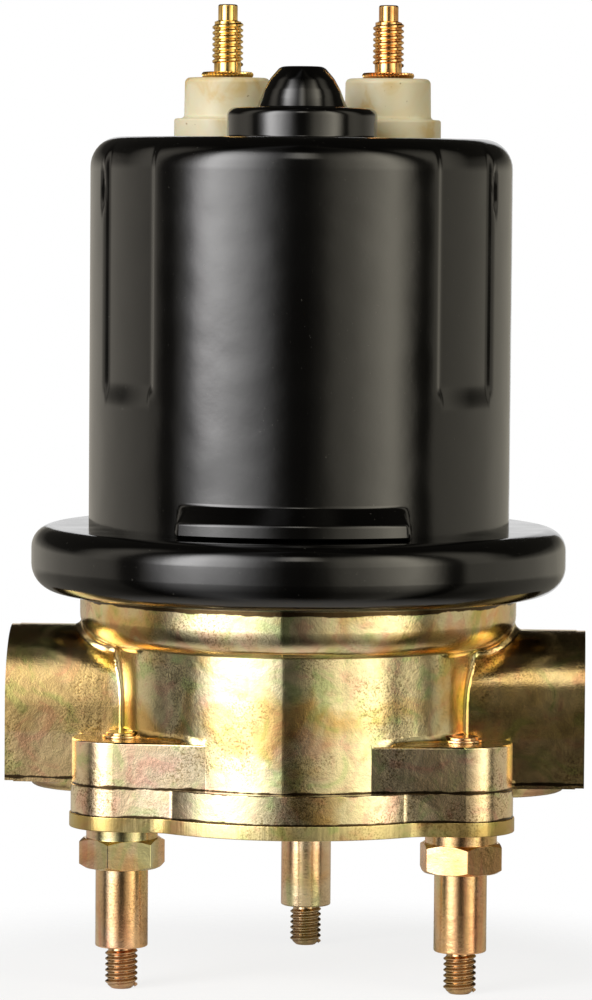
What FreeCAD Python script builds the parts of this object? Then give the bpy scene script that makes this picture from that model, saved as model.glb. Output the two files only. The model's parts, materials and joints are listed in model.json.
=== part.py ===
import FreeCAD
import Part
import math
import os

V = FreeCAD.Vector

# Electric in-line fuel pump: a sealed vane pump in a die-cast body, driven by a small
# brushed motor in a deep-drawn can. Millimetres, +Z up, front is -Y, ports point to +X
# and -X. The origin is on the motor's axis, level with the tips of the three studs.

# General clearances
press_gap = 0.05
running_gap = 0.03
end_gap = 0.05
seat_gap = 0.3
shaft_hole_gap = 0.4
fine_edge = 0.5
cut_over = 1.0
tolerance = 0.01

# Mounting studs: threaded tip, smooth shoulder for a rubber grommet, hexagon, collar
stud_circle_r = 28.6
stud_thread_r = 2.38
stud_thread_length = 6.2
stud_shoulder_r = 3.85
stud_shoulder_length = 11.7
stud_hex_flats = 11.1
stud_hex_height = 4.3
stud_collar_r = 5.25
stud_collar_height = 1.7
stud_shank_r = 2.7
stud_proud = 0.8
stud_chamfer = 0.45
hex_chamfer = 0.55
hex_chamfer_width = 0.88
stud_angles = (210.0, 330.0, 90.0)
stud_hex_angles = (10.0, 39.0, 3.0)

# Cover plate
plate_thickness = 2.1
plate_r = 28.8
plate_lobe_r = 7.75
lobe_blend_r = 5.0

# Die-cast pump body
base_r = 28.5
base_height = 4.3
ear_r = 7.4
ear_height = 10.9
neck_r = 26.0
collar_gap = 0.65
collar_height_above_base = 24.0
collar_round = 4.2
neck_blend = 1.6
body_rise = 31.4
port_rise = 14.95
port_half_width = 11.15
port_foot_rise = 3.6
port_reach = 42.6
port_root_half_width = 12.2
port_root_reach = 25.5
port_web_angle = 20.0
port_web_drop = 6.4
pad_thickness = 1.4
pad_reach = 40.0
port_thread_r = 5.7
port_thread_length = 12.0
port_mouth_chamfer = 0.8
port_drill_r = 2.8
ear_top_edge = 0.7

# Motor can with its rolled rim
can_r = 31.15
can_wall = 1.2
can_height = 57.35
can_shoulder_r = 4.5
rim_overhang = 8.45
rim_height = 9.65
rim_top_edge = 2.0
rim_low_edge = 4.0
rim_foot_round = 0.8
lip_overhang = 1.85
step_r = 11.1
step_height = 4.45
step_edge = 1.3
step_foot_round = 0.4
dome_r = 6.5
dome_height = 6.1
dome_top_r = 4.3
dome_waist_drop = 3.25
dome_waist_r = 6.0
dome_foot_round = 0.5
dome_waist_round = 2.4
dome_top_round = 1.4
dome_slant_wall = 0.84
dome_inner_drop = 0.6
dome_roof_round = 0.7
dome_bore_round = 1.2
ledge_overhang = 2.65
ledge_height = 2.65
ledge_slope_height = 2.3
ledge_round = 0.8
ledge_sink = 0.4
ledge_half_angle = 31.0
channel_depth = 0.6
channel_start_angle = 44.0
channel_end_angle = 67.0
channel_foot = 18.0
channel_runout = 5.0

# Crimped joint between can and body
flange_thickness = 6.0
pilot_height = 4.0
pilot_wall = 2.7
seal_ring_edge = 0.6
seal_ring_gap = 2.6

# Terminals
terminal_x = 12.1
terminal_y = 15.0
terminal_r = 2.38
terminal_thread_length = 6.7
terminal_neck_r = 1.9
terminal_neck_length = 0.8
terminal_chamfer = 0.4
terminal_head_flats = 8.0
terminal_head_height = 2.4
dog_r = 1.475
dog_length = 2.6
dog_chamfer = 0.3
washer_r = 3.95
washer_thickness = 0.9
washer_teeth = 26
washer_tooth_depth = 0.35
insulator_collar_r = 8.0
insulator_collar_height = 2.95
insulator_r = 6.45
insulator_height = 9.1
insulator_edge = 0.5
inner_flange_r = 6.0
spigot_r = 3.5
spigot_height = 1.9
terminal_seal_r = 5.3
terminal_seal_width = 1.4
terminal_seal_height = 1.0
strap_thickness = 0.8
strap_width = 3.8
strap_eye_r = 4.0

# Pump cell
cell_r = 17.0
cam_height = 9.6
cam_bore_r = 13.4
cam_offset = 1.6
rotor_gap = 0.3
vane_count = 5
vane_thickness = 2.0
vane_length = 5.9
vane_slot_floor = 0.4
port_plate_thickness = 2.0
kidney_inner_r = 10.8
kidney_outer_r = 13.0
kidney_half_angle = 32.0
feed_r = 1.9
feed_x = 12.0
rotor_pin_r = 1.2
rotor_pin_half_length = 4.6
rotor_pin_drop = 1.6
rotor_pin_slack = 0.2
dowel_r = 1.0
dowel_y = -14.6
dowel_depth = 2.4
cell_seal_gap = 0.7
cell_seal_width = 1.5
cell_seal_height = 1.05

# Relief valve
relief_web = 5.3
relief_bore_r = 2.6
relief_seat_rise = 14.9
relief_seat_r = 1.5
relief_seat_depth = 3.4
relief_seat_gap = 0.6
relief_plug_height = 3.0
relief_plug_gap = 0.02
relief_poppet_length = 6.0
relief_poppet_edge = 0.3
relief_pocket_r = 1.55
relief_pocket_depth = 1.5
relief_nose_r = 1.75
relief_nose_tip_r = 0.85
relief_nose_length = 1.8
relief_spring_r = 2.15
spring_wire = 0.5
relief_drill_r = 1.1
relief_return_r = 0.9
relief_drill_reach = 2.0

# Shaft, bearings and armature
shaft_r = 3.175
shaft_collar_r = 4.5
shaft_bottom_gap = 0.3
shaft_chamfer = 0.4
bearing_r = 7.0
seal_bottom_rise = 18.9
seal_height = 4.5
bearing_gap = 1.0
bearing_length = 12.0
tower_r = 10.0
air_gap = 0.8
core_length = 26.0
core_top_drop = 18.3
slot_count = 12
slot_mouth = 1.6
slot_r = 2.2
slot_depth = 4.6
winding_gap = 0.1
winding_overhang = 3.9
winding_inner_r = 7.2
winding_outer_drop = 1.4
winding_outer_round = 1.8
winding_inner_round = 1.2
hub_r = 6.8
hub_length = 12.0
bar_r = 9.0
bar_length = 7.2
bar_gap = 0.7
bar_edge = 0.3
riser_r = 10.1
riser_height = 1.1
thrust_washer_r = 5.8
thrust_washer_thickness = 0.8
upper_bush_r = 6.6
upper_bush_half = 4.4
retainer_thickness = 0.8
retainer_drop = 3.1
retainer_rise = 6.2
retainer_round = 0.6
shaft_top_rise = 6.3

# Magnets and their clips
magnet_thickness = 7.6
magnet_half_angle = 62.0
magnet_length = 34.0
magnet_gap = 0.15
clip_thickness = 0.8
clip_leg_angle = 1.8
clip_slack_angle = 0.3
clip_leg = 5.0
clip_length = 26.0

# Brush gear
brush_plate_thickness = 1.6
brush_plate_hole_r = 10.9
brush_size = 5.0
brush_gap = 0.05
brush_back = 17.5
holder_wall = 0.6
holder_slack = 0.1
holder_front = 11.2
holder_end_gap = 5.45
brush_spring_r = 2.0

# Radii, worked out from the can's wall outwards and inwards
rim_r = can_r + rim_overhang
lip_r = can_r + lip_overhang
collar_r = lip_r - collar_gap
ledge_r = can_r + ledge_overhang
can_bore_r = can_r - can_wall
pilot_r = can_bore_r - press_gap
flange_r = rim_r - can_wall - seat_gap
magnet_r = can_bore_r - magnet_gap
core_r = magnet_r - magnet_thickness - air_gap
slot_place_r = core_r - slot_depth
winding_outer_r = core_r - winding_outer_drop
rotor_r = cam_bore_r - cam_offset - rotor_gap
dome_bore_r = dome_r - can_wall
relief_y = -(cell_r + relief_web)
holder_back = can_bore_r - holder_end_gap
holder_half = brush_size / 2 + holder_slack + holder_wall

# Levels, worked out from the tips of the studs upwards
shoulder_z = stud_thread_length
hex_z = shoulder_z + stud_shoulder_length
collar_z = hex_z + stud_hex_height
plate_z = collar_z + stud_collar_height
body_z = plate_z + plate_thickness
ear_top_z = body_z + ear_height
port_z = body_z + port_rise
port_foot_z = body_z + port_foot_rise
body_collar_z = body_z + collar_height_above_base
rim_z = body_z + body_rise
rim_top_z = rim_z + rim_height
can_top_z = rim_top_z + can_height
step_top_z = can_top_z + step_height
dome_top_z = step_top_z + dome_height
can_roof_z = can_top_z - can_wall
flange_z = rim_z + can_wall + press_gap
flange_top_z = flange_z + flange_thickness
pilot_top_z = flange_top_z + pilot_height
rim_roof_z = rim_top_z - can_wall
cell_top_z = body_z + cam_height
cell_roof_z = cell_top_z + port_plate_thickness
seal_z = body_z + seal_bottom_rise
bearing_z = seal_z + seal_height + bearing_gap
bearing_top_z = bearing_z + bearing_length
tower_floor_z = seal_z + seal_height + 2 * bearing_gap
core_top_z = can_top_z - core_top_drop
core_z = core_top_z - core_length
hub_top_z = core_top_z + hub_length
bar_z = hub_top_z - bar_length
step_roof_z = step_top_z - can_wall
bush_reach = math.sqrt((upper_bush_r + press_gap) ** 2 - dome_bore_r**2)
bush_z = step_roof_z - bush_reach
brush_z = (bar_z + riser_height + hub_top_z) / 2
brush_plate_z = brush_z - holder_half - brush_plate_thickness
strap_z = brush_z + holder_half
inner_insulator_z = strap_z + strap_thickness
insulator_top_z = can_top_z + insulator_height
washer_top_z = insulator_top_z + washer_thickness
thread_z = washer_top_z + terminal_neck_length
dog_z = thread_z + terminal_thread_length


def drum(r, z0, z1, x=0.0, y=0.0):
    """A plain cylinder between two heights."""
    return Part.makeCylinder(r, z1 - z0, V(x, y, z0))


def hole(r, z0, z1, x=0.0, y=0.0):
    """A drill for an upright hole that runs out past both heights."""
    return drum(r, z0 - cut_over, z1 + cut_over, x, y)


def ring(r_out, r_in, z0, z1, x=0.0, y=0.0):
    """A plain ring between two heights."""
    return drum(r_out, z0, z1, x, y).cut(hole(r_in, z0, z1, x, y))


def rounded_wire(corners, place):
    """A closed outline through corners (a, b) or (a, b, radius), each radius an arc."""
    edges = []
    count = len(corners)
    joints = []
    for i, corner in enumerate(corners):
        here = V(corner[0], corner[1], 0)
        radius = corner[2] if len(corner) > 2 else 0.0
        before = V(*corners[i - 1][:2], 0) - here
        after = V(*corners[(i + 1) % count][:2], 0) - here
        if radius == 0.0:
            joints.append((here, None, here))
            continue
        before.normalize()
        after.normalize()
        half = before.getAngle(after) / 2
        reach = radius / math.tan(half)
        middle = before + after
        middle.normalize()
        mid = here + middle * (radius / math.sin(half) - radius)
        joints.append((here + before * reach, mid, here + after * reach))
    for i, (start, mid, end) in enumerate(joints):
        if mid is not None:
            edges.append(Part.Arc(place(start), place(mid), place(end)).toShape())
        following = joints[(i + 1) % count][0]
        if (following - end).Length > tolerance:
            edges.append(Part.LineSegment(place(end), place(following)).toShape())
    return Part.Wire(edges)


def turned(corners, x=0.0, y=0.0, start=0.0, sweep=360.0):
    """A shape turned about a vertical axis from an outline of (radius, height) corners."""
    wire = rounded_wire(corners, lambda p: V(p.x, 0, p.y))
    shape = Part.Face(wire).revolve(V(0, 0, 0), V(0, 0, 1), sweep)
    shape.rotate(V(0, 0, 0), V(0, 0, 1), start)
    shape.translate(V(x, y, 0))
    return shape


def sector(r_out, r_in, z0, z1, start, sweep):
    """A ring's sector with square edges."""
    return turned([(r_in, z0), (r_out, z0), (r_out, z1), (r_in, z1)], 0, 0, start, sweep)


def box(x0, x1, y0, y1, z0, z1):
    """A block between two corners, given in any order."""
    low = V(min(x0, x1), min(y0, y1), min(z0, z1))
    return Part.makeBox(abs(x1 - x0), abs(y1 - y0), abs(z1 - z0), low)


def hexagon(flats, z0, z1, turn, x, y):
    """An upright hexagonal prism, with both ends of its corners chamfered."""
    corner_r = flats / math.sqrt(3)
    points = []
    for k in range(7):
        angle = math.radians(turn + 60 * k)
        points.append(V(x + corner_r * math.cos(angle), y + corner_r * math.sin(angle), z0))
    prism = Part.Face(Part.makePolygon(points)).extrude(V(0, 0, z1 - z0))
    inner_r = corner_r - hex_chamfer_width
    blank = [(0, z0), (inner_r, z0), (corner_r, z0 + hex_chamfer)]
    blank += [(corner_r, z1 - hex_chamfer), (inner_r, z1), (0, z1)]
    return prism.common(turned(blank, x, y))


def drilled(start, end, r):
    """A round hole's core from one point to another."""
    return Part.makeCylinder(r, (end - start).Length, start, end - start)


def slot_block(x0, x1, y, half_width, z0, z1):
    """A block along X that ends in a half round at x1."""
    block = box(x0, x1, y - half_width, y + half_width, z0, z1)
    return block.fuse(drum(half_width, z0, z1, x1, y))


def stud_spots():
    """Centre of each mounting stud and how far its hexagon is turned."""
    spots = []
    for angle, turn in zip(stud_angles, stud_hex_angles):
        x = stud_circle_r * math.cos(math.radians(angle))
        y = stud_circle_r * math.sin(math.radians(angle))
        spots.append((x, y, turn))
    return spots


def lobed_slab(round_r, lobe_r, z0, z1):
    """A disc with a lobe at each stud; the two front lobes run square to the front."""
    slab = drum(round_r, z0, z1)
    for x, y, turn in stud_spots():
        if y > 0:
            slab = slab.fuse(drum(lobe_r, z0, z1, x, y))
        else:
            slab = slab.fuse(slot_block(0, x, y, lobe_r, z0, z1))
    slab = slab.removeSplitter()
    edges = []
    for edge in slab.Edges:
        ends = [v.Point for v in edge.Vertexes]
        side = ends[0] - ends[-1]
        upright = len(ends) == 2 and math.hypot(side.x, side.y) < tolerance
        on_disc = abs(math.hypot(ends[0].x, ends[0].y) - round_r) < tolerance
        if upright and on_disc and abs(ends[0].y) > tolerance:
            edges.append(edge)
    return slab.makeFillet(lobe_blend_r, edges)


def mounting_studs():
    """Three turned studs that clamp the cover plate and carry the pump in grommets."""
    studs = []
    for x, y, turn in stud_spots():
        tip = stud_thread_r - stud_chamfer
        shank_z = ear_top_z + stud_proud
        outline = [(0, 0), (tip, 0), (stud_thread_r, stud_chamfer), (stud_thread_r, shoulder_z)]
        inside_z = collar_z - hex_chamfer
        outline += [(stud_shoulder_r, shoulder_z), (stud_shoulder_r, inside_z)]
        outline += [(stud_collar_r, inside_z), (stud_collar_r, plate_z)]
        outline += [(stud_shank_r, plate_z), (stud_shank_r, shank_z - stud_chamfer)]
        outline += [(stud_shank_r - stud_chamfer, shank_z), (0, shank_z)]
        stud = turned(outline, x, y)
        studs.append(stud.fuse(hexagon(stud_hex_flats, hex_z, collar_z, turn, x, y)))
    return Part.makeCompound(studs)


def cover_plate():
    """Flat steel plate that closes the pump cell from below."""
    plate = lobed_slab(plate_r, plate_lobe_r, plate_z, body_z)
    for x, y, turn in stud_spots():
        plate = plate.cut(hole(stud_shank_r + press_gap, plate_z, body_z, x, y))
    return plate


def arch_prism(half_width, foot_z, reach):
    """A flat-footed arch round the port's axis, drawn out along X."""
    top_left = V(0, half_width, port_z)
    top_right = V(0, -half_width, port_z)
    crown = V(0, 0, port_z + half_width)
    foot_left = V(0, half_width, foot_z)
    foot_right = V(0, -half_width, foot_z)
    edges = [
        Part.LineSegment(foot_right, foot_left).toShape(),
        Part.LineSegment(foot_left, top_left).toShape(),
        Part.Arc(top_left, crown, top_right).toShape(),
        Part.LineSegment(top_right, foot_right).toShape(),
    ]
    return Part.Face(Part.Wire(edges)).extrude(V(reach, 0, 0))


def port_boss(side):
    """One port's arched boss, its wider root at the neck, its pad and its web."""
    boss = arch_prism(port_half_width, port_foot_z, side * port_reach)
    root = arch_prism(port_root_half_width, port_foot_z, side * port_root_reach)
    pad_end = side * (pad_reach - port_half_width)
    pad_z = port_foot_z - pad_thickness
    pad = slot_block(0, pad_end, 0, port_half_width, pad_z, port_foot_z)
    inside_r = neck_r - neck_blend
    web = [(inside_r, body_collar_z - port_web_drop), (neck_r, body_collar_z - port_web_drop)]
    web += [(collar_r, body_collar_z + collar_round), (inside_r, body_collar_z + collar_round)]
    middle = 90 - side * 90
    gusset = turned(web, 0, 0, middle - port_web_angle, 2 * port_web_angle)
    return boss.fuse([root, pad, gusset])


def port_cut(side):
    """One port's thread core, its mouth chamfer and the passage down to the cell."""
    mouth = side * (port_reach + cut_over)
    floor = side * (port_reach - port_thread_length)
    core = drilled(V(mouth, 0, port_z), V(floor, 0, port_z), port_thread_r)
    wide_r = port_thread_r + port_mouth_chamfer
    face = V(side * port_reach, 0, port_z)
    cone = Part.makeCone(wide_r, port_thread_r, port_mouth_chamfer, face, V(-side, 0, 0))
    passage = drilled(V(floor, 0, port_z), V(side * feed_x, 0, port_z), port_drill_r)
    feed = drum(feed_r, cell_top_z, port_z, side * feed_x, 0)
    return core.fuse([cone, passage, feed])


def relief_cut():
    """The relief valve's bore, its seat hole and the two drillings to the ports."""
    seat_z = body_z + relief_seat_rise
    seat_top_z = seat_z + relief_seat_depth
    bore = drum(relief_bore_r, body_z - cut_over, seat_z, 0, relief_y)
    seat = drum(relief_seat_r, body_z, seat_top_z, 0, relief_y)
    port_inside = port_reach - port_thread_length + relief_drill_reach
    press_z = seat_top_z - relief_drill_r
    pressure = drilled(V(0, relief_y, press_z), V(port_inside, 0, press_z), relief_drill_r)
    back_z = seat_z - relief_return_r - relief_seat_gap
    back = drilled(V(0, relief_y, back_z), V(-port_inside, 0, back_z), relief_return_r)
    return bore.fuse([seat, pressure, back])


def pump_body():
    """Die-cast housing: base, ears, neck, collar, crimping flange, tower and ports."""
    outline = [(0, body_z), (base_r, body_z), (base_r, body_z + base_height, fine_edge)]
    outline += [(neck_r, body_z + base_height, neck_blend)]
    outline += [(neck_r, body_collar_z, neck_blend), (collar_r, body_collar_z, collar_round)]
    outline += [(collar_r, flange_z), (flange_r, flange_z, rim_low_edge - can_wall)]
    outline += [(flange_r, flange_top_z, fine_edge), (pilot_r, flange_top_z)]
    outline += [(pilot_r, pilot_top_z, fine_edge), (0, pilot_top_z)]
    body = turned(outline)
    ears = []
    for x, y, turn in stud_spots():
        if y > 0:
            ear = drum(ear_r, body_z, ear_top_z, x, y)
            ear = ear.fuse(box(-ear_r, ear_r, 0, y, body_z, ear_top_z))
        else:
            ear = slot_block(0, x, y, ear_r, body_z, ear_top_z)
        ear = ear.removeSplitter()
        rims = [e for e in ear.Edges if e.BoundBox.ZMin > ear_top_z - tolerance]
        ears.append(ear.makeFillet(ear_top_edge, rims))
    body = body.fuse(ears + [port_boss(-1), port_boss(1)])
    cuts = [drum(cell_r + press_gap, body_z - cut_over, cell_roof_z)]
    cuts.append(hole(shaft_r + shaft_hole_gap, cell_roof_z, seal_z))
    cuts.append(drum(bearing_r, seal_z, bearing_top_z + cut_over))
    recess_r = pilot_r - pilot_wall
    cuts.append(ring(recess_r, tower_r, tower_floor_z, pilot_top_z + cut_over))
    cuts.append(drum(tower_r + cut_over, bearing_top_z, pilot_top_z + cut_over))
    cuts += [port_cut(-1), port_cut(1), relief_cut()]
    groove_r = cell_r + press_gap + cell_seal_gap
    groove_z = body_z + cell_seal_height + press_gap
    outer_r = groove_r + cell_seal_width + 2 * press_gap
    cuts.append(ring(outer_r, groove_r, body_z - cut_over, groove_z))
    dowel_top_z = cell_roof_z + dowel_depth + press_gap
    cuts.append(drum(dowel_r, cell_top_z, dowel_top_z, 0, dowel_y))
    hole_r = stud_shank_r + press_gap
    for x, y, turn in stud_spots():
        cuts.append(hole(hole_r, body_z, ear_top_z, x, y))
    return body.cut(cuts)


def channel_cutter(start, sweep):
    """One shallow pressed channel down the can's wall, running out at its foot."""
    floor_r = can_r - channel_depth
    foot_z = rim_top_z + channel_foot
    outside_r = can_r + cut_over
    outline = [(floor_r, can_top_z + cut_over), (outside_r, can_top_z + cut_over)]
    outline += [(outside_r, foot_z), (can_r + press_gap, foot_z)]
    outline += [(floor_r, foot_z + channel_runout)]
    return turned(outline, 0, 0, start, sweep)


def motor_can():
    """Deep-drawn can: rolled rim, straight wall, step and bell-shaped bearing dome."""
    outline = [(lip_r, rim_z), (rim_r, rim_z, rim_low_edge), (rim_r, rim_top_z, rim_top_edge)]
    waist_z = dome_top_z - dome_waist_drop
    outline += [(can_r, rim_top_z, rim_foot_round), (can_r, can_top_z, can_shoulder_r)]
    outline += [(step_r, can_top_z, step_foot_round), (step_r, step_top_z, step_edge)]
    outline += [(dome_r, step_top_z, dome_foot_round), (dome_waist_r, waist_z, dome_waist_round)]
    outline += [(dome_top_r, dome_top_z, dome_top_round), (0, dome_top_z)]
    roof_z = dome_top_z - can_wall
    outline += [(0, roof_z), (dome_top_r - dome_slant_wall, roof_z, dome_roof_round)]
    outline += [(dome_waist_r - can_wall, waist_z - dome_inner_drop, dome_bore_round)]
    outline += [(dome_bore_r, step_roof_z), (step_r - can_wall, step_roof_z, fine_edge)]
    outline += [(step_r - can_wall, can_roof_z)]
    outline += [(can_bore_r, can_roof_z, can_shoulder_r - can_wall), (can_bore_r, rim_roof_z)]
    outline += [(rim_r - can_wall, rim_roof_z, rim_top_edge - can_wall)]
    outline += [(rim_r - can_wall, rim_z + can_wall, rim_low_edge - can_wall)]
    outline += [(lip_r, rim_z + can_wall)]
    can = turned(outline)
    root_r = can_r - ledge_sink
    root_z = rim_top_z - ledge_sink
    ledge_top_z = rim_top_z + ledge_height
    ledge = [(root_r, root_z), (ledge_r, root_z), (ledge_r, ledge_top_z, ledge_round)]
    ledge += [(root_r, ledge_top_z + ledge_slope_height)]
    span = 2 * ledge_half_angle
    front = turned(ledge, 0, 0, 270 - ledge_half_angle, span)
    rear = turned(ledge, 0, 0, 90 - ledge_half_angle, span)
    can = can.fuse([front, rear])
    cutters = []
    width = channel_end_angle - channel_start_angle
    for facing in (90, 270):
        cutters.append(channel_cutter(facing + channel_start_angle, width))
        cutters.append(channel_cutter(facing - channel_end_angle, width))
    for side in (-1, 1):
        hole_x = side * terminal_x
        hole_r = spigot_r + 2 * press_gap
        cutters.append(hole(hole_r, can_roof_z, can_top_z, hole_x, terminal_y))
    return can.cut(cutters)


def housing_seal():
    """Flat rubber ring squeezed between the can's flange and the body's flange."""
    outer_r = flange_r - seal_ring_edge
    return ring(outer_r, pilot_r + seal_ring_gap, flange_top_z, rim_roof_z)


def cell_seal():
    """Rubber ring in the groove round the pump cell, against the cover plate."""
    inner_r = cell_r + 2 * press_gap + cell_seal_gap
    return ring(inner_r + cell_seal_width, inner_r, body_z, body_z + cell_seal_height)


def cam_ring():
    """Ring whose bore stands off centre, so that the chambers grow and shrink."""
    cam = drum(cell_r, body_z, cell_top_z)
    cam = cam.cut(hole(cam_bore_r, body_z, cell_top_z, 0, cam_offset))
    return cam.cut(drum(dowel_r, cell_top_z - dowel_depth, cell_roof_z, 0, dowel_y))


def cam_dowel():
    """Pin that keeps the cam ring and the port plate from turning."""
    r = dowel_r - press_gap
    return drum(r, cell_top_z - dowel_depth + end_gap, cell_roof_z + dowel_depth, 0, dowel_y)


def port_plate():
    """Wear plate over the rotor, with an inlet and an outlet kidney."""
    plate = ring(cell_r, shaft_r + shaft_hole_gap, cell_top_z, cell_roof_z)
    cuts = [hole(dowel_r, cell_top_z, cell_roof_z, 0, dowel_y)]
    for middle in (0, 180):
        start = middle - kidney_half_angle
        span = 2 * kidney_half_angle
        low = cell_top_z - cut_over
        high = cell_roof_z + cut_over
        cuts.append(sector(kidney_outer_r, kidney_inner_r, low, high, start, span))
    return plate.cut(cuts)


def vane_slab(inner_r, thickness, z0, z1, turn):
    """One flat radial slab that reaches past the rotor's rim."""
    slab = box(inner_r, rotor_r + cut_over, -thickness / 2, thickness / 2, z0, z1)
    slab.rotate(V(0, 0, 0), V(0, 0, 1), turn)
    return slab


def pump_rotor():
    """Slotted rotor, driven by a cross pin in its upper face."""
    low = body_z + end_gap
    high = cell_top_z - end_gap
    rotor = ring(rotor_r, shaft_r + running_gap, low, high)
    floor_r = rotor_r - vane_length - vane_slot_floor
    cuts = []
    for k in range(vane_count):
        turn = 90 + 360 * k / vane_count
        wide = vane_thickness + 2 * running_gap
        cuts.append(vane_slab(floor_r, wide, low - cut_over, high + cut_over, turn))
    pin_z = high - rotor_pin_drop
    reach = rotor_pin_half_length + rotor_pin_slack
    half = rotor_pin_r + running_gap
    cuts.append(box(-reach, reach, -half, half, pin_z - half, high + cut_over))
    return rotor.cut(cuts)


def rotor_vanes():
    """Sliding vanes, each drawn fully in, its rounded tip level with the rotor."""
    low = body_z + end_gap
    high = cell_top_z - end_gap
    vanes = []
    for k in range(vane_count):
        turn = 90 + 360 * k / vane_count
        slab = vane_slab(rotor_r - vane_length, vane_thickness, low, high, turn)
        vanes.append(slab.common(drum(rotor_r, low, high)))
    return Part.makeCompound(vanes)


def rotor_pin():
    """Cross pin through the shaft that turns the rotor."""
    z = cell_top_z - end_gap - rotor_pin_drop
    reach = rotor_pin_half_length
    return drilled(V(-reach, 0, z), V(reach, 0, z), rotor_pin_r)


def relief_poppet():
    """Sliding poppet with a conical nose that closes the relief seat."""
    seat_z = body_z + relief_seat_rise
    top_z = seat_z - relief_seat_gap
    low_z = top_z - relief_poppet_length
    pocket_z = low_z + relief_pocket_depth
    r = relief_bore_r - press_gap
    tip_z = top_z + relief_nose_length
    outline = [(0, pocket_z), (relief_pocket_r, pocket_z), (relief_pocket_r, low_z)]
    outline += [(r, low_z), (r, top_z, relief_poppet_edge)]
    outline += [(relief_nose_r, top_z), (relief_nose_tip_r, tip_z), (0, tip_z)]
    return turned(outline, 0, relief_y)


def relief_plug():
    """Plug that closes the relief bore and backs its spring."""
    r = relief_bore_r - relief_plug_gap
    return drum(r, body_z, body_z + relief_plug_height, 0, relief_y)


def relief_spring():
    """Compression spring under the poppet, as a sleeve of its own size."""
    low_z = body_z + relief_plug_height
    high_z = body_z + relief_seat_rise - relief_seat_gap - relief_poppet_length
    inner_r = relief_spring_r - spring_wire
    return ring(relief_spring_r, inner_r, low_z, high_z, 0, relief_y)


def shaft_seal():
    """Lip seal that keeps fuel out of the motor."""
    return ring(bearing_r, shaft_r + running_gap, seal_z, seal_z + seal_height)


def lower_bearing():
    """Bronze bush in the body's tower."""
    return ring(bearing_r, shaft_r + running_gap, bearing_z, bearing_top_z)


def armature_shaft():
    """Steel shaft with a collar under the laminations and a hole for the rotor's pin."""
    collar_z0 = bearing_top_z + end_gap + thrust_washer_thickness
    top_z = can_top_z + shaft_top_rise
    low_z = body_z + shaft_bottom_gap
    end_r = shaft_r - shaft_chamfer
    outline = [(0, low_z), (end_r, low_z), (shaft_r, low_z + shaft_chamfer)]
    outline += [(shaft_r, collar_z0), (shaft_collar_r, collar_z0), (shaft_collar_r, core_z)]
    outline += [(shaft_r, core_z), (shaft_r, top_z - shaft_chamfer), (end_r, top_z), (0, top_z)]
    shaft = turned(outline)
    pin_z = cell_top_z - end_gap - rotor_pin_drop
    reach = shaft_r + cut_over
    return shaft.cut(drilled(V(-reach, 0, pin_z), V(reach, 0, pin_z), rotor_pin_r))


def thrust_washers():
    """A washer at each end of the armature."""
    low_z = bearing_top_z + end_gap
    bore_r = shaft_r + running_gap
    lower = ring(thrust_washer_r, bore_r, low_z, low_z + thrust_washer_thickness)
    upper = ring(thrust_washer_r, bore_r, hub_top_z, hub_top_z + thrust_washer_thickness)
    return Part.makeCompound([lower, upper])


def armature_core():
    """Stack of steel laminations with round slots that open at the rim."""
    core = ring(core_r, shaft_r, core_z, core_top_z)
    cuts = []
    low = core_z - cut_over
    high = core_top_z + cut_over
    half = slot_mouth / 2
    for k in range(slot_count):
        turn = 360 * k / slot_count
        slot = box(slot_place_r, core_r + cut_over, -half, half, low, high)
        slot = slot.fuse(drum(slot_r, low, high, slot_place_r, 0))
        slot.rotate(V(0, 0, 0), V(0, 0, 1), turn)
        cuts.append(slot)
    return core.cut(cuts)


def armature_windings():
    """Copper windings: a crown of end turns above and below, joined through the slots."""
    crowns = []
    low_z = core_z - winding_overhang
    high_z = core_top_z + winding_overhang
    for near, far in ((core_z, low_z), (core_top_z, high_z)):
        outline = [(winding_inner_r, near), (winding_outer_r, near)]
        outline += [(winding_outer_r, far, winding_outer_round)]
        outline += [(winding_inner_r, far, winding_inner_round)]
        crowns.append(turned(outline))
    bars = []
    for k in range(slot_count):
        angle = math.radians(360 * k / slot_count)
        x = slot_place_r * math.cos(angle)
        y = slot_place_r * math.sin(angle)
        into = winding_overhang / 2
        bars.append(drum(slot_r - winding_gap, core_z - into, core_top_z + into, x, y))
    return crowns[0].fuse([crowns[1]] + bars)


def commutator_hub():
    """Moulded hub that insulates the commutator from the shaft."""
    return ring(hub_r, shaft_r, core_top_z, hub_top_z)


def commutator_bars():
    """Copper bars round the hub, each with a riser for its winding wires."""
    outline = [(hub_r, bar_z), (riser_r, bar_z), (riser_r, bar_z + riser_height)]
    outline += [(bar_r, bar_z + riser_height), (bar_r, hub_top_z, bar_edge)]
    outline += [(hub_r, hub_top_z)]
    gap_angle = math.degrees(bar_gap / bar_r)
    step = 360 / slot_count
    bars = [turned(outline, 0, 0, k * step, step - gap_angle) for k in range(slot_count)]
    return Part.makeCompound(bars)


def upper_bearing():
    """Self-aligning bronze bush, a ball cut flat at both ends, seated in the can's dome."""
    ball = Part.makeSphere(upper_bush_r, V(0, 0, bush_z))
    low_z = bush_z - upper_bush_half
    high_z = bush_z + upper_bush_half
    ball = ball.common(drum(2 * upper_bush_r, low_z, high_z))
    return ball.cut(hole(shaft_r + running_gap, low_z, high_z))


def bearing_retainer():
    """Pressed cup that holds the upper bush up against the dome."""
    top_z = bush_z - retainer_drop + retainer_thickness / 2
    low_z = top_z - retainer_thickness
    drop = bush_z - top_z
    hole_r = math.sqrt((upper_bush_r + press_gap) ** 2 - drop**2)
    outer_r = step_r - can_wall - 2 * press_gap
    outline = [(hole_r, low_z), (outer_r, low_z, retainer_round), (outer_r, low_z + retainer_rise)]
    outline += [(outer_r - retainer_thickness, low_z + retainer_rise)]
    outline += [(outer_r - retainer_thickness, top_z), (hole_r, top_z)]
    return turned(outline)


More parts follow.
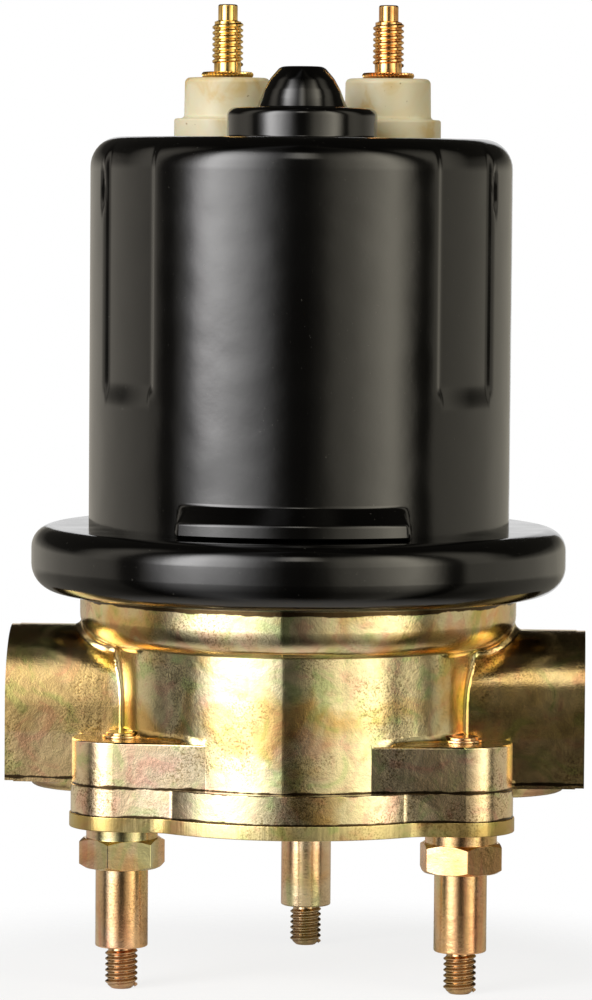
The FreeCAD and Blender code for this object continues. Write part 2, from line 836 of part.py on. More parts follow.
def magnet(facing):
    """One arc-shaped ferrite magnet against the can's wall."""
    middle_z = (core_z + core_top_z) / 2
    low_z = middle_z - magnet_length / 2
    start = facing - magnet_half_angle
    inner_r = magnet_r - magnet_thickness
    return sector(magnet_r, inner_r, low_z, low_z + magnet_length, start, 2 * magnet_half_angle)


def magnet_clips():
    """Two spring clips that spread the magnets apart at the sides."""
    middle_z = (core_z + core_top_z) / 2
    low_z = middle_z - clip_length / 2
    high_z = low_z + clip_length
    half = 90 - magnet_half_angle - clip_slack_angle
    clips = []
    for middle in (0, 180):
        web_r = magnet_r - clip_thickness
        web = sector(magnet_r, web_r, low_z, high_z, middle - half, 2 * half)
        leg_r = magnet_r - clip_leg
        left = sector(magnet_r, leg_r, low_z, high_z, middle - half, clip_leg_angle)
        right_start = middle + half - clip_leg_angle
        right = sector(magnet_r, leg_r, low_z, high_z, right_start, clip_leg_angle)
        clips.append(web.fuse([left, right]))
    return Part.makeCompound(clips)


def brush_plate():
    """Insulating card across the can that carries both brush holders."""
    outer_r = can_bore_r - 2 * press_gap
    high_z = brush_plate_z + brush_plate_thickness
    return ring(outer_r, brush_plate_hole_r, brush_plate_z, high_z)


def brush_holder(side):
    """Brass tube of square section, closed at its outer end."""
    half = holder_half
    inner = half - holder_wall
    shell = box(side * holder_front, side * holder_back, -half, half, brush_z - half, brush_z + half)
    end = side * (holder_back - holder_wall)
    mouth = side * (holder_front - cut_over)
    hollow = box(mouth, end, -inner, inner, brush_z - inner, brush_z + inner)
    return shell.cut(hollow)


def brush(side):
    """Carbon block, its face ground to the commutator's curve."""
    half = brush_size / 2
    front = side * (bar_r - cut_over)
    block = box(front, side * brush_back, -half, half, brush_z - half, brush_z + half)
    return block.cut(hole(bar_r + brush_gap, brush_z - half, brush_z + half))


def brush_spring(side):
    """Spring behind a brush, as a sleeve of its own size."""
    back = holder_back - holder_wall
    start = V(side * brush_back, 0, brush_z)
    end = V(side * back, 0, brush_z)
    past = V(side * cut_over, 0, 0)
    inside = drilled(start - past, end + past, brush_spring_r - spring_wire)
    return drilled(start, end, brush_spring_r).cut(inside)


def terminal_stud(side):
    """Brass through-stud: hexagon head inside, thread and plain dog nose outside."""
    x = side * terminal_x
    head_z = strap_z - terminal_head_height
    top_z = dog_z + dog_length
    tip = terminal_r - terminal_chamfer
    inside_z = strap_z - terminal_chamfer
    outline = [(0, inside_z), (terminal_r, inside_z), (terminal_r, washer_top_z)]
    outline += [(terminal_neck_r, washer_top_z), (terminal_neck_r, thread_z), (tip, thread_z)]
    outline += [(terminal_r, thread_z + terminal_chamfer), (terminal_r, dog_z - terminal_chamfer)]
    outline += [(tip, dog_z), (dog_r, dog_z), (dog_r, top_z - dog_chamfer)]
    outline += [(dog_r - dog_chamfer, top_z), (0, top_z)]
    stud = turned(outline, x, terminal_y)
    return stud.fuse(hexagon(terminal_head_flats, head_z, strap_z, 0, x, terminal_y))


def terminal_washer(side):
    """Thin brass washer with a coarsely knurled rim."""
    points = []
    steps = 2 * washer_teeth
    for k in range(steps + 1):
        angle = 2 * math.pi * (k % steps) / steps
        r = washer_r - washer_tooth_depth * (k % 2)
        x = side * terminal_x + r * math.cos(angle)
        points.append(V(x, terminal_y + r * math.sin(angle), insulator_top_z))
    blank = Part.Face(Part.makePolygon(points)).extrude(V(0, 0, washer_thickness))
    bore_r = terminal_r + press_gap
    x = side * terminal_x
    return blank.cut(hole(bore_r, insulator_top_z, washer_top_z, x, terminal_y))


def terminal_insulator(side):
    """Moulded nylon stand-off outside the can, with a wider foot."""
    foot_z = can_top_z + insulator_collar_height
    bore_r = terminal_r + press_gap
    spigot_hole_r = spigot_r + press_gap
    spigot_z = can_roof_z + spigot_height + press_gap
    groove_r = terminal_seal_r + press_gap
    groove_in = terminal_seal_r - terminal_seal_width - press_gap
    groove_z = can_top_z + terminal_seal_height
    outline = [(spigot_hole_r, can_top_z), (groove_in, can_top_z), (groove_in, groove_z)]
    outline += [(groove_r, groove_z), (groove_r, can_top_z), (insulator_collar_r, can_top_z)]
    outline += [(insulator_collar_r, foot_z, insulator_edge), (insulator_r, foot_z)]
    outline += [(insulator_r, insulator_top_z, insulator_edge), (bore_r, insulator_top_z)]
    outline += [(bore_r, spigot_z), (spigot_hole_r, spigot_z)]
    return turned(outline, side * terminal_x, terminal_y)


def terminal_bush(side):
    """Moulded nylon bush inside the can, its spigot up through the hole."""
    bore_r = terminal_r + press_gap
    outline = [(bore_r, inner_insulator_z), (inner_flange_r, inner_insulator_z)]
    outline += [(inner_flange_r, can_roof_z), (spigot_r, can_roof_z)]
    outline += [(spigot_r, can_roof_z + spigot_height), (bore_r, can_roof_z + spigot_height)]
    return turned(outline, side * terminal_x, terminal_y)


def terminal_seals():
    """Rubber rings that seal both terminal holes in the can."""
    inner_r = terminal_seal_r - terminal_seal_width
    high_z = can_top_z + terminal_seal_height
    seals = []
    for side in (-1, 1):
        x = side * terminal_x
        seals.append(ring(terminal_seal_r, inner_r, can_top_z, high_z, x, terminal_y))
    return Part.makeCompound(seals)


def terminal_strap(side):
    """Brass strap from a terminal stud to the top of its brush holder."""
    x = side * terminal_x
    high_z = strap_z + strap_thickness
    half = strap_width / 2
    bar = box(x - half, x + half, -brush_size / 2, terminal_y, strap_z, high_z)
    strap = bar.fuse(drum(strap_eye_r, strap_z, high_z, x, terminal_y))
    bore_r = terminal_r + press_gap
    return strap.cut(hole(bore_r, strap_z, high_z, x, terminal_y))


nodes = {
    "mounting_studs": mounting_studs(),
    "cover_plate": cover_plate(),
    "pump_body": pump_body(),
    "motor_can": motor_can(),
    "housing_seal": housing_seal(),
    "cell_seal": cell_seal(),
    "cam_ring": cam_ring(),
    "cam_dowel": cam_dowel(),
    "port_plate": port_plate(),
    "pump_rotor": pump_rotor(),
    "rotor_vanes": rotor_vanes(),
    "rotor_pin": rotor_pin(),
    "relief_poppet": relief_poppet(),
    "relief_spring": relief_spring(),
    "relief_plug": relief_plug(),
    "shaft_seal": shaft_seal(),
    "lower_bearing": lower_bearing(),
    "armature_shaft": armature_shaft(),
    "thrust_washers": thrust_washers(),
    "armature_core": armature_core(),
    "armature_windings": armature_windings(),
    "commutator_hub": commutator_hub(),
    "commutator_bars": commutator_bars(),
    "upper_bearing": upper_bearing(),
    "bearing_retainer": bearing_retainer(),
    "magnet_front": magnet(270),
    "magnet_rear": magnet(90),
    "magnet_clips": magnet_clips(),
    "brush_plate": brush_plate(),
    "terminal_seals": terminal_seals(),
}
for name, side in (("left", -1), ("right", 1)):
    nodes["brush_holder_" + name] = brush_holder(side)
    nodes["brush_" + name] = brush(side)
    nodes["brush_spring_" + name] = brush_spring(side)
    nodes["terminal_stud_" + name] = terminal_stud(side)
    nodes["terminal_washer_" + name] = terminal_washer(side)
    nodes["terminal_insulator_" + name] = terminal_insulator(side)
    nodes["terminal_bush_" + name] = terminal_bush(side)
    nodes["terminal_strap_" + name] = terminal_strap(side)

os.makedirs("parts", exist_ok=True)
for name, shape in nodes.items():
    shape.exportStep("parts/" + name + ".step")
    box_ = shape.BoundBox
    print(name, len(shape.Solids), shape.isValid(), round(shape.Volume, 1),
          [round(v, 2) for v in (box_.XMin, box_.XMax, box_.YMin, box_.YMax, box_.ZMin, box_.ZMax)])
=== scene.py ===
import bmesh
import bpy
import json
import math
from contextlib import contextmanager
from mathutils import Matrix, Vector


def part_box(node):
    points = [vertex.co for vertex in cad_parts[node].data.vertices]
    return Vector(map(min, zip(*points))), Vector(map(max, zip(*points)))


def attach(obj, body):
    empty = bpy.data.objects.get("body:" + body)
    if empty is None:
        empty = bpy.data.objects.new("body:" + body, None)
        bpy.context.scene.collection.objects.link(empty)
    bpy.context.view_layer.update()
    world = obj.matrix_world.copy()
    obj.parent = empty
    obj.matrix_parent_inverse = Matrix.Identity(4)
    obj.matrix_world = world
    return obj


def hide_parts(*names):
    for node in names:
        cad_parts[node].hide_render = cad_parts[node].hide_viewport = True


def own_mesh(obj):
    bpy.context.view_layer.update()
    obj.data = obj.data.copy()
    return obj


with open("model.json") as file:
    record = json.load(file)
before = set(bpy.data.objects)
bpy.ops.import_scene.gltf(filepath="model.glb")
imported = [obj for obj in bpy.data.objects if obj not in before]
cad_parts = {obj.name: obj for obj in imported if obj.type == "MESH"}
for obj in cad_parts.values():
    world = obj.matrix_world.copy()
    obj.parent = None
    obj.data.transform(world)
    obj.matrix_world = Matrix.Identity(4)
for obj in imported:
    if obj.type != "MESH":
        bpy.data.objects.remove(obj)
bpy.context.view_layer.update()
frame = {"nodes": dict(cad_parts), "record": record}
bpy.ops.object.select_all(action="DESELECT")
MM = 0.001


# Motor can: a deep-drawn steel cup whose rim is rolled over the pump body's flange.
# Shallow channels are pressed down its sides, a step and a bell hold the top bearing,
# and it is sprayed in gloss black enamel after the crimping.
can_low, can_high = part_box("motor_can")
rim_z = can_low.z
dome_top_z = can_high.z
rim_r = 39.6 * MM
rim_foot_round = 4.1 * MM
rim_head_round = 3.2 * MM
lip_r = 33.0 * MM
can_r = 31.15 * MM
can_wall = 1.2 * MM
can_top_round = 4.4 * MM
rim_top_z = rim_z + 9.65 * MM
step_top_z = dome_top_z - 6.1 * MM
can_top_z = step_top_z - 4.45 * MM
step_r = 11.1 * MM
dome_r = 6.5 * MM
ledge_height = 2.2 * MM
ledge_slope = 2.6 * MM
ledge_proud = 2.45 * MM
channel_foot_z = rim_top_z + 18.2 * MM
channel_depth = 0.6 * MM
notch_z = can_top_z - 7.6 * MM
notch_reach = 4.6 * MM
notch_depth = 0.5 * MM
# Bearings and widths round the can, in degrees from its front or its rear.
can_turn = 1.3
ledge_angle = 31.3
channel_middle = 52.9
channel_half = 13.3
channel_wall = 3.3
channel_corner = 3.0
notch_angle = 66.3
notch_half = 1.5
TOUCH = 1e-5


def hold(form):
    """Makes one form the only one selected."""
    bpy.ops.object.select_all(action="DESELECT")
    bpy.context.view_layer.objects.active = form
    form.select_set(True)


@contextmanager
def editing(form):
    """Edit mode on one form, left again when its block ends."""
    hold(form)
    bpy.ops.object.mode_set(mode="EDIT")
    yield
    bpy.ops.object.mode_set(mode="OBJECT")


def settle(name):
    """Names the form just added and moves its place, turn and size into its mesh."""
    form = bpy.context.object
    form.name = name
    bpy.ops.object.transform_apply(location=True, rotation=True, scale=True)
    return form


def pick(form, passes):
    """Selects the vertices that pass a test on their place, and what lies between them."""
    shape = bmesh.from_edit_mesh(form.data)
    for vertex in shape.verts:
        vertex.select = passes(vertex.co)
    shape.select_flush(False)
    shape.select_flush(True)
    bmesh.update_edit_mesh(form.data)


def on_ring(r, z, x=0.0, y=0.0):
    """A test for the vertices of one ring of a turned form."""
    return lambda p: abs(math.hypot(p.x - x, p.y - y) - r) < TOUCH and abs(p.z - z) < TOUCH


def lathe(name, outline, x=0.0, y=0.0, steps=96, hollow=False):
    """A turned form: a ring drawn out along corners of (radius, height[, round])."""
    bpy.ops.object.select_all(action="DESELECT")
    bpy.ops.mesh.primitive_circle_add(vertices=steps, radius=outline[0][0],
                                      location=(x, y, outline[0][1]))
    form = settle(name)
    with editing(form):
        bpy.ops.mesh.select_all(action="SELECT")
        for old, new in zip(outline, outline[1:]):
            bpy.ops.mesh.extrude_region_move(
                TRANSFORM_OT_translate={"value": (0, 0, new[1] - old[1])})
            grow = new[0] / old[0]
            bpy.ops.transform.resize(value=(grow, grow, 1), center_override=(x, y, new[1]))
        ends = [on_ring(r, z, x, y) for r, z in (outline[0][:2], outline[-1][:2])]
        if hollow:
            pick(form, lambda p: ends[0](p) or ends[1](p))
            bpy.ops.mesh.bridge_edge_loops()
        else:
            for end in ends:
                pick(form, end)
                bpy.ops.mesh.edge_face_add()
        for i, corner in enumerate(outline):
            if len(corner) < 3:
                continue
            here = Vector(corner[:2])
            before = here - Vector(outline[i - 1][:2])
            after = Vector(outline[(i + 1) % len(outline)][:2]) - here
            turn = before.angle(after)
            pick(form, on_ring(corner[0], corner[1], x, y))
            bpy.ops.mesh.bevel(offset=corner[2] * math.tan(turn / 2), clamp_overlap=False,
                               segments=max(2, round(math.degrees(turn) / 9)))
        bpy.ops.mesh.select_all(action="SELECT")
        bpy.ops.mesh.normals_make_consistent(inside=False)
    return form


def apply_modifier(form, kind, **settings):
    """Gives a form one modifier and applies it."""
    hold(form)
    step = form.modifiers.new(kind, kind)
    for setting, value in settings.items():
        setattr(step, setting, value)
    bpy.ops.object.modifier_apply(modifier=step.name)


def carve(form, tool, operation="DIFFERENCE"):
    """Cuts one form with another, joins them or keeps what they share."""
    apply_modifier(form, "BOOLEAN", operation=operation, object=tool, solver="MANIFOLD")
    bpy.data.objects.remove(tool)


def press(form, height, share):
    """Pushes a form's skin out along its normals, or in, by a share for each place."""
    group = form.vertex_groups.new(name="press")
    for vertex in form.data.vertices:
        weight = share(vertex.co)
        if weight > 0:
            group.add([vertex.index], min(1.0, weight), "REPLACE")
    apply_modifier(form, "DISPLACE", strength=height, mid_level=0, vertex_group="press")
    form.vertex_groups.clear()


def ease(t):
    """A soft step from 0 to 1."""
    t = min(1.0, max(0.0, t))
    return t * t * (3 - 2 * t)


def smooth(form, angle=30.0):
    """Smooth shading, with the edges sharper than the angle left crisp."""
    hold(form)
    bpy.ops.object.shade_smooth_by_angle(angle=math.radians(angle))
    apply_modifier(form, "WEIGHTED_NORMAL", keep_sharp=True)


def finish_piece(piece, node, body, material):
    """Names a piece's finish, its body and the node that it stands for."""
    piece.data.materials.clear()
    piece.data.materials.append(material)
    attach(piece, body)
    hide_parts(node)


class Patterns:
    """Nodes that make patterns and mix them."""

    def __init__(self, tree, coordinates):
        self.tree = tree
        self.place = self.node("TexCoord").outputs[coordinates]

    def node(self, kind, *fills, **settings):
        """A node, its sockets filled by (socket, value or pattern)."""
        node = self.tree.nodes.new("ShaderNode" + kind)
        for setting, value in settings.items():
            setattr(node, setting, value)
        for name, value in fills:
            socket = node.inputs[name]
            if isinstance(value, bpy.types.NodeSocket):
                self.tree.links.new(value, socket)
            elif isinstance(value, tuple) and socket.type == "RGBA":
                socket.default_value = (*value, 1)
            else:
                socket.default_value = value
        return node

    def math(self, operation, *values):
        """A sum on patterns and numbers."""
        return self.node("Math", *enumerate(values), operation=operation).outputs[0]

    def axis(self, letter):
        """The place along one axis: metres on a piece, a direction's share in the room."""
        return self.node("SeparateXYZ", (0, self.place)).outputs[letter]

    def noise(self, size, detail=3.0, stretch=(1, 1, 1), rough=0.5, warp=0.0, shift=(0, 0, 0)):
        """A cloud pattern whose lumps are about this size, in metres."""
        squeeze = self.node("Mapping", ("Vector", self.place), ("Location", shift),
                            ("Scale", stretch))
        pattern = self.node("TexNoise", ("Vector", squeeze.outputs["Vector"]), ("Scale", 1 / size),
                            ("Detail", detail), ("Roughness", rough), ("Distortion", warp))
        return pattern.outputs["Fac"]

    def ramp(self, value, *stops):
        """Colours or greys along a pattern's value."""
        scale = self.node("ValToRGB", ("Fac", value))
        marks = scale.color_ramp.elements
        while len(marks) < len(stops):
            marks.new(0.5)
        for mark, (at, color) in zip(marks, stops):
            mark.position = at
            mark.color = (*color, 1) if isinstance(color, tuple) else (color, color, color, 1)
        return scale.outputs["Color"]

    def mix(self, under, over, amount, blend="MIX"):
        """One colour over another, by an amount or a pattern."""
        factor, color_a, color_b, color_out = 0, 6, 7, 2
        return self.node("Mix", (factor, amount), (color_a, under), (color_b, over),
                         data_type="RGBA", blend_type=blend).outputs[color_out]

    def spread(self, value, from_low, from_high, low=0.0, high=1.0, **settings):
        """A value between two limits, spread between two others."""
        return self.node("MapRange", ("Value", value), (1, from_low), (2, from_high), (3, low),
                         (4, high), **settings).outputs["Result"]


class Finish(Patterns):
    """A piece's material, from patterns that follow the piece's own place."""

    def __init__(self, name, color, roughness, metallic=0.0):
        self.material = bpy.data.materials.new(name)
        self.material.use_nodes = True
        super().__init__(self.material.node_tree, "Object")
        self.shader = self.tree.nodes["Principled BSDF"]
        self.set(Base_Color=(*color, 1), Roughness=roughness, Metallic=metallic)

    def set(self, **values):
        """Plain values on the shader's own sockets."""
        for socket, value in values.items():
            self.shader.inputs[socket.replace("_", " ")].default_value = value

    def feed(self, socket, value):
        """Leads a pattern to one of the shader's sockets."""
        self.tree.links.new(value, self.shader.inputs[socket])

    def bump(self, *layers):
        """Relief from (pattern, height in metres) layers, coarse to fine."""
        under = []
        for pattern, height in layers:
            relief = self.node("Bump", ("Height", pattern), ("Distance", height), *under)
            under = [("Normal", relief.outputs["Normal"])]
        self.feed("Normal", relief.outputs["Normal"])


black = (0.0012, 0.0011, 0.001)
enamel = Finish("black_enamel", black, 0.12)
enamel.set(IOR=1.6)
enamel_wave = enamel.noise(8 * MM, 1.0)
enamel_peel = enamel.noise(1.1 * MM, 2.0)
enamel_dust = enamel.ramp(enamel.noise(0.4 * MM, 1.0), (0.76, 0.0), (0.8, 1.0))
enamel.feed("Base Color", enamel.mix(black, (0.03, 0.029, 0.025), enamel_dust))
enamel.feed("Roughness", enamel.spread(enamel_wave, 0.3, 0.7, 0.1, 0.15))
enamel.bump((enamel_wave, 0.1 * MM), (enamel_peel, 0.005 * MM))

ledge_rows = (0.15, 0.6, 1.2, 1.7, 2.0, 2.2, 2.5, 3.0, 3.6, 4.2, 4.6, 4.8, 5.1, 5.6, 8, 11, 14,
              16, 17)
channel_rows = (-0.4, 0.1, 0.6, 1.1, 1.6, 2.1, 2.6, 3.1, 3.6, 4.4, 5.4, 8, 14, 20, 24, 26)
head_rows = (12.0, 11.2, 10.4, 9.6, 8.8, 7.6, 6.4, 5.2, 4.8)
outline = [(lip_r, rim_z), (rim_r, rim_z, rim_foot_round), (rim_r, rim_top_z, rim_head_round),
           (can_r, rim_top_z)]
outline += [(can_r, rim_top_z + row * MM) for row in ledge_rows]
outline += [(can_r, channel_foot_z + row * MM) for row in channel_rows]
outline += [(can_r, can_top_z - row * MM) for row in head_rows]
outline += [(can_r, can_top_z, can_top_round), (24 * MM, can_top_z), (step_r + 1 * MM, can_top_z),
            (step_r, can_top_z, 0.4 * MM), (step_r, step_top_z, 1.2 * MM),
            (dome_r + 0.2 * MM, step_top_z, 0.4 * MM), (6.1 * MM, step_top_z + 1.4 * MM, 2 * MM),
            (5.6 * MM, step_top_z + 2.7 * MM, 3 * MM), (4.75 * MM, step_top_z + 4.3 * MM, 3 * MM),
            (3.2 * MM, dome_top_z, 1.2 * MM), (0.4 * MM, dome_top_z)]
can = lathe("motor_can_drawn", outline, steps=576)


def facing(p):
    """Degrees between a place's bearing and the nearer of the can's front and rear."""
    turned = abs(math.degrees(math.atan2(p.x, -p.y)) - can_turn)
    return min(turned, abs(180 - turned))


def channel_press(p):
    """How deep the channels are pressed at a place, from 0 to 1."""
    if p.z < channel_foot_z or math.hypot(p.x, p.y) < can_r - 4.2 * MM:
        return 0
    inward = channel_half - abs(facing(p) - channel_middle)
    upward = (p.z - channel_foot_z) / (can_r * math.radians(1))
    if inward < channel_corner and upward < channel_corner + 3:
        short = max(0, channel_corner + 3 - upward) * 0.6
        inward = channel_corner - math.hypot(channel_corner - inward, short)
    side = ease((max(0, inward) / channel_wall) ** 1.4)
    return side * ease(upward / 7.5 + 0.05) * ease((can_top_z - 0.6 * MM - p.z) / (3 * MM))


def ledge_press(p):
    """How far the ledge stands out at a place, from 0 to 1."""
    up = p.z - rim_top_z
    head = ledge_height + ledge_slope
    if up < TOUCH or up > head + 0.6 * MM or abs(math.hypot(p.x, p.y) - can_r) > 0.1 * MM:
        return 0
    slope = min(1.0, (head - up) / ledge_slope, 0.6 + 0.4 * up / (0.6 * MM))
    reach = ledge_angle + 1.2 * (1 - up / head)
    return slope * ease((reach - facing(p)) / 2.6)


press(can, ledge_proud, ledge_press)
press(can, -channel_depth, channel_press)


def notch_press(p):
    """The die's mark beside the head of each outer channel wall."""
    across = (facing(p) - notch_angle) / notch_half
    along = (p.z - notch_z) / notch_reach
    return ease(1.25 - 1.25 * math.hypot(across, along)) if p.z > notch_z - 5 * MM else 0


press(can, -notch_depth, notch_press)

inside = [(lip_r, rim_z - 1 * MM), (lip_r, rim_z + can_wall),
          (rim_r - can_wall, rim_z + can_wall, 2.8 * MM),
          (rim_r - can_wall, rim_top_z - can_wall, 0.8 * MM),
          (can_r - can_wall, rim_top_z - can_wall),
          (can_r - can_wall, can_top_z - can_wall, 3.3 * MM),
          (step_r - can_wall, can_top_z - can_wall),
          (step_r - can_wall, step_top_z - can_wall, 0.5 * MM),
          (5.0 * MM, step_top_z - can_wall), (4.2 * MM, step_top_z + 2.25 * MM, 1.2 * MM),
          (2.8 * MM, dome_top_z - can_wall, 0.4 * MM), (0.4 * MM, dome_top_z - can_wall)]
carve(can, lathe("can_inside", inside, steps=96))
terminal_x = 12.1 * MM
terminal_y = 15.0 * MM
for side in (-1, 1):
    hole = [(3.6 * MM, can_top_z - 3 * MM), (3.6 * MM, can_top_z + 3 * MM)]
    carve(can, lathe("terminal_hole", hole, side * terminal_x, terminal_y, steps=48))
smooth(can, 50.0)
finish_piece(can, "motor_can", "housing", enamel.material)


# Pump body: an aluminium die casting with two port bosses, three ears and a rounded
# collar under the can. It is machined at its foot, its ports and its bores, and wears
# a yellow chromate that turns gold, olive, cream and pink. The mould's joint shows.
body_low, body_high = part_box("pump_body")
body_z = body_low.z
port_reach = body_high.x
base_r = 28.5 * MM
base_top_z = body_z + 4.3 * MM
neck_r = 26.0 * MM
collar_r = 32.35 * MM
collar_z = body_z + 24.0 * MM
collar_round = 4.2 * MM
flange_z = rim_z + can_wall + 0.05 * MM
flange_top_z = flange_z + 6.0 * MM
flange_r = rim_r - can_wall - 0.3 * MM
pilot_r = can_r - can_wall - 0.05 * MM
pilot_top_z = flange_top_z + 4.0 * MM
ear_r = 7.4 * MM
ear_top_z = body_z + 10.9 * MM
ear_proud = 0.14 * MM
port_z = body_z + 14.95 * MM
port_half = 11.15 * MM
port_foot_z = body_z + 3.6 * MM
pad_reach = 40.0 * MM
pad_drop = 1.4 * MM
below_z = body_z - 3.0 * MM
skin = 0.05 * MM
boss_fillet = 0.6 * MM
boss_grain = 0.3 * MM
ear_fillet = 1.0 * MM
ear_grain = 0.42 * MM
seam_half = 0.13 * MM
seam_x = -0.6 * MM
seam_rise = 0.45 * MM
collar_seam_rise = 0.42 * MM
seam_reach = 8.5 * MM
side_swell = 1.35 * MM
boss_root = 20 * MM
boss_draft = 0.055
ear_fan = math.radians(6)
trim = 1.4 * MM
stud_circle_r = 28.6 * MM
stud_angles = (210.0, 330.0, 90.0)
stud_spots = [(stud_circle_r * math.cos(math.radians(angle)),
               stud_circle_r * math.sin(math.radians(angle))) for angle in stud_angles]


def block(name, x0, x1, y0, y1, z0, z1):
    """A squared block between two corners."""
    bpy.ops.object.select_all(action="DESELECT")
    middle = ((x0 + x1) / 2, (y0 + y1) / 2, (z0 + z1) / 2)
    bpy.ops.mesh.primitive_cube_add(size=1, location=middle)
    bpy.context.object.scale = (abs(x1 - x0), abs(y1 - y0), abs(z1 - z0))
    return settle(name)


def joined(name, forms):
    """Several forms as one object."""
    bpy.ops.object.select_all(action="DESELECT")
    for form in forms:
        form.select_set(True)
    bpy.context.view_layer.objects.active = forms[0]
    bpy.ops.object.join()
    forms[0].name = name
    return forms[0]


def drill(name, start, end, r, end_r=None, steps=64):
    """A round cutter from one place to another."""
    start, end = Vector(start), Vector(end)
    along = end - start
    bpy.ops.object.select_all(action="DESELECT")
    bpy.ops.mesh.primitive_cone_add(vertices=steps, radius1=r, radius2=end_r or r,
                                    depth=along.length, location=(start + end) / 2,
                                    rotation=along.to_track_quat("Z", "Y").to_euler())
    return settle(name)


def arch(name, half, foot, start, reach, draft):
    """A flat-footed arch round the ports' axis, its flanks drawn in towards its end."""
    crown = drill(name, (start, 0, port_z), (reach, 0, port_z), half, steps=96)
    step = math.copysign(0.01 * MM, reach)
    carve(crown, block("foot", start + step, reach - step, -half + 1e-6, half - 1e-6, foot, port_z),
          "UNION")
    with editing(crown):
        for end in (start, reach):
            pick(crown, lambda p: abs(p.x - end) < 0.1 * MM)
            bpy.ops.transform.resize(value=(1, 1 - draft * (abs(end) - boss_root) / half, 1),
                                     center_override=(end, 0, port_z))
    return crown


def ear(name, x, y, r, low, high, edge):
    """One ear: a round lug with its flanks run in to the neck, the front one fanned out."""
    lug = lathe(name, [(r, low), (r, high)], x, y, steps=64)
    if y > 0:
        flank = block("flank", -r, r, 0, y, low, high)
    else:
        flank = block("flank", 0, x, y - r, y + r, low, high)
        outward = math.copysign(r * math.sin(ear_fan), x)
        back = r - r * math.cos(ear_fan)
        forward = math.tan(ear_fan) * abs(x + outward) - back
        with editing(flank):
            for outer, shift in ((True, (outward, back, 0)), (False, (0, -forward, 0))):
                pick(flank, lambda p: p.y < y and (abs(p.x) > 1 * MM) == outer)
                bpy.ops.transform.translate(value=shift)
    carve(lug, flank, "UNION")
    with editing(lug):
        pick(lug, lambda p: p.z > high - TOUCH)
        bpy.ops.mesh.bevel(offset=edge, segments=3, clamp_overlap=False)
    return lug


def soften(form, fillet, grain):
    """Fills the inner corners of joined forms as a mould's radii do."""
    apply_modifier(form, "REMESH", mode="VOXEL", voxel_size=grain)
    for offset in (fillet, -fillet):
        apply_modifier(form, "DISPLACE", strength=offset, mid_level=0)
        apply_modifier(form, "REMESH", mode="VOXEL", voxel_size=grain)
    apply_modifier(form, "SMOOTH", factor=0.5, iterations=4)
    return form


def keel(p):
    """The crease down the front and the rear, where the mould's halves meet."""
    return max(0, 1 - abs(p.x - seam_x) / seam_reach)


def neck_form(name, r, top):
    """The neck, swelling at its sides to meet the bosses."""
    rows = [below_z + i * (top - below_z) / 6 for i in range(7)]
    form = lathe(name, [(r, z) for z in rows], steps=360)

    def swell(p):
        bearing = math.degrees(math.atan2(abs(p.x), abs(p.y)))
        return ease((bearing - 36) / 24) if math.hypot(p.x, p.y) > 20 * MM else 0

    press(form, side_swell, swell)
    return form


# The softened forms stand a hair inside the crisp ones that follow, so that only their
# fillets are left to be seen.
under = [(10 * MM, collar_z + skin), (collar_r - skin, collar_z + skin, collar_round),
         (collar_r - skin, flange_z + 1 * MM), (10 * MM, flange_z + 1 * MM)]
pad = [(port_half - 0.4 * MM, port_foot_z - pad_drop), (port_half, port_foot_z + 1 * MM)]
forms = [neck_form("pump_body_cast", neck_r - 0.06 * MM, collar_z + 3 * MM)]
for side in (-1, 1):
    forms.append(arch("boss", port_half - skin, port_foot_z + skin,
                      side * boss_root, side * (port_reach - trim), boss_draft))
    ring = lathe("collar_part", under, steps=144)
    carve(ring, block("keep", side * 22 * MM, side * 34 * MM, -16 * MM, 16 * MM,
                      collar_z - 1 * MM, flange_z + 0.5 * MM), "INTERSECT")
    forms.append(ring)
    pad_x = side * (pad_reach - port_half)
    forms.append(lathe("pad", pad, pad_x, 0, steps=64))
    forms.append(block("pad_bar", 0, pad_x, -port_half + 0.2 * MM, port_half - 0.2 * MM,
                       port_foot_z - pad_drop, port_foot_z + 1 * MM))
cast = soften(joined("pump_body_cast", forms), boss_fillet, boss_grain)

forms = [neck_form("ears", neck_r - 0.1 * MM, ear_top_z + 6 * MM)]
for x, y in stud_spots:
    forms.append(ear("ear", x, y, ear_r - 0.06 * MM, below_z, ear_top_z - 0.06 * MM, 0.5 * MM))
carve(cast, soften(joined("ears", forms), ear_fillet, ear_grain), "UNION")
neck = neck_form("neck", neck_r, collar_z + 3 * MM)
press(neck, seam_rise, lambda p: keel(p) if math.hypot(p.x, p.y) > 20 * MM else 0)
carve(cast, neck, "UNION")
for x, y in stud_spots:
    carve(cast, ear("ear", x, y, ear_r, below_z, ear_top_z, 0.3 * MM), "UNION")
for side in (-1, 1):
    carve(cast, arch("boss", port_half, port_foot_z, side * boss_root,
                     side * (port_reach - trim + 0.1 * MM), boss_draft), "UNION")
    carve(cast, arch("boss_end", port_half - 0.1 * MM, port_foot_z + 0.12 * MM, side * 30 * MM,
                     side * (port_reach + 1 * MM), boss_draft), "UNION")

slab = [(base_r - 0.25 * MM, below_z), (base_r, below_z + 1 * MM), (base_r, base_top_z, 0.2 * MM),
        (neck_r - 3 * MM, base_top_z)]
carve(cast, lathe("base", slab, steps=192), "UNION")
for x, y in stud_spots:
    foot = ear("ear_foot", x, y, ear_r + ear_proud, below_z + 0.5 * MM,
               base_top_z - 0.06 * MM, 0.1 * MM)
    carve(cast, foot, "UNION")
with editing(cast):
    for place, outward in (((port_reach, 0, 0), (1, 0, 0)), ((-port_reach, 0, 0), (-1, 0, 0)),
                           ((0, 0, body_z), (0, 0, -1))):
        bpy.ops.mesh.select_all(action="SELECT")
        bpy.ops.mesh.bisect(plane_co=place, plane_no=outward, clear_outer=True, use_fill=True)

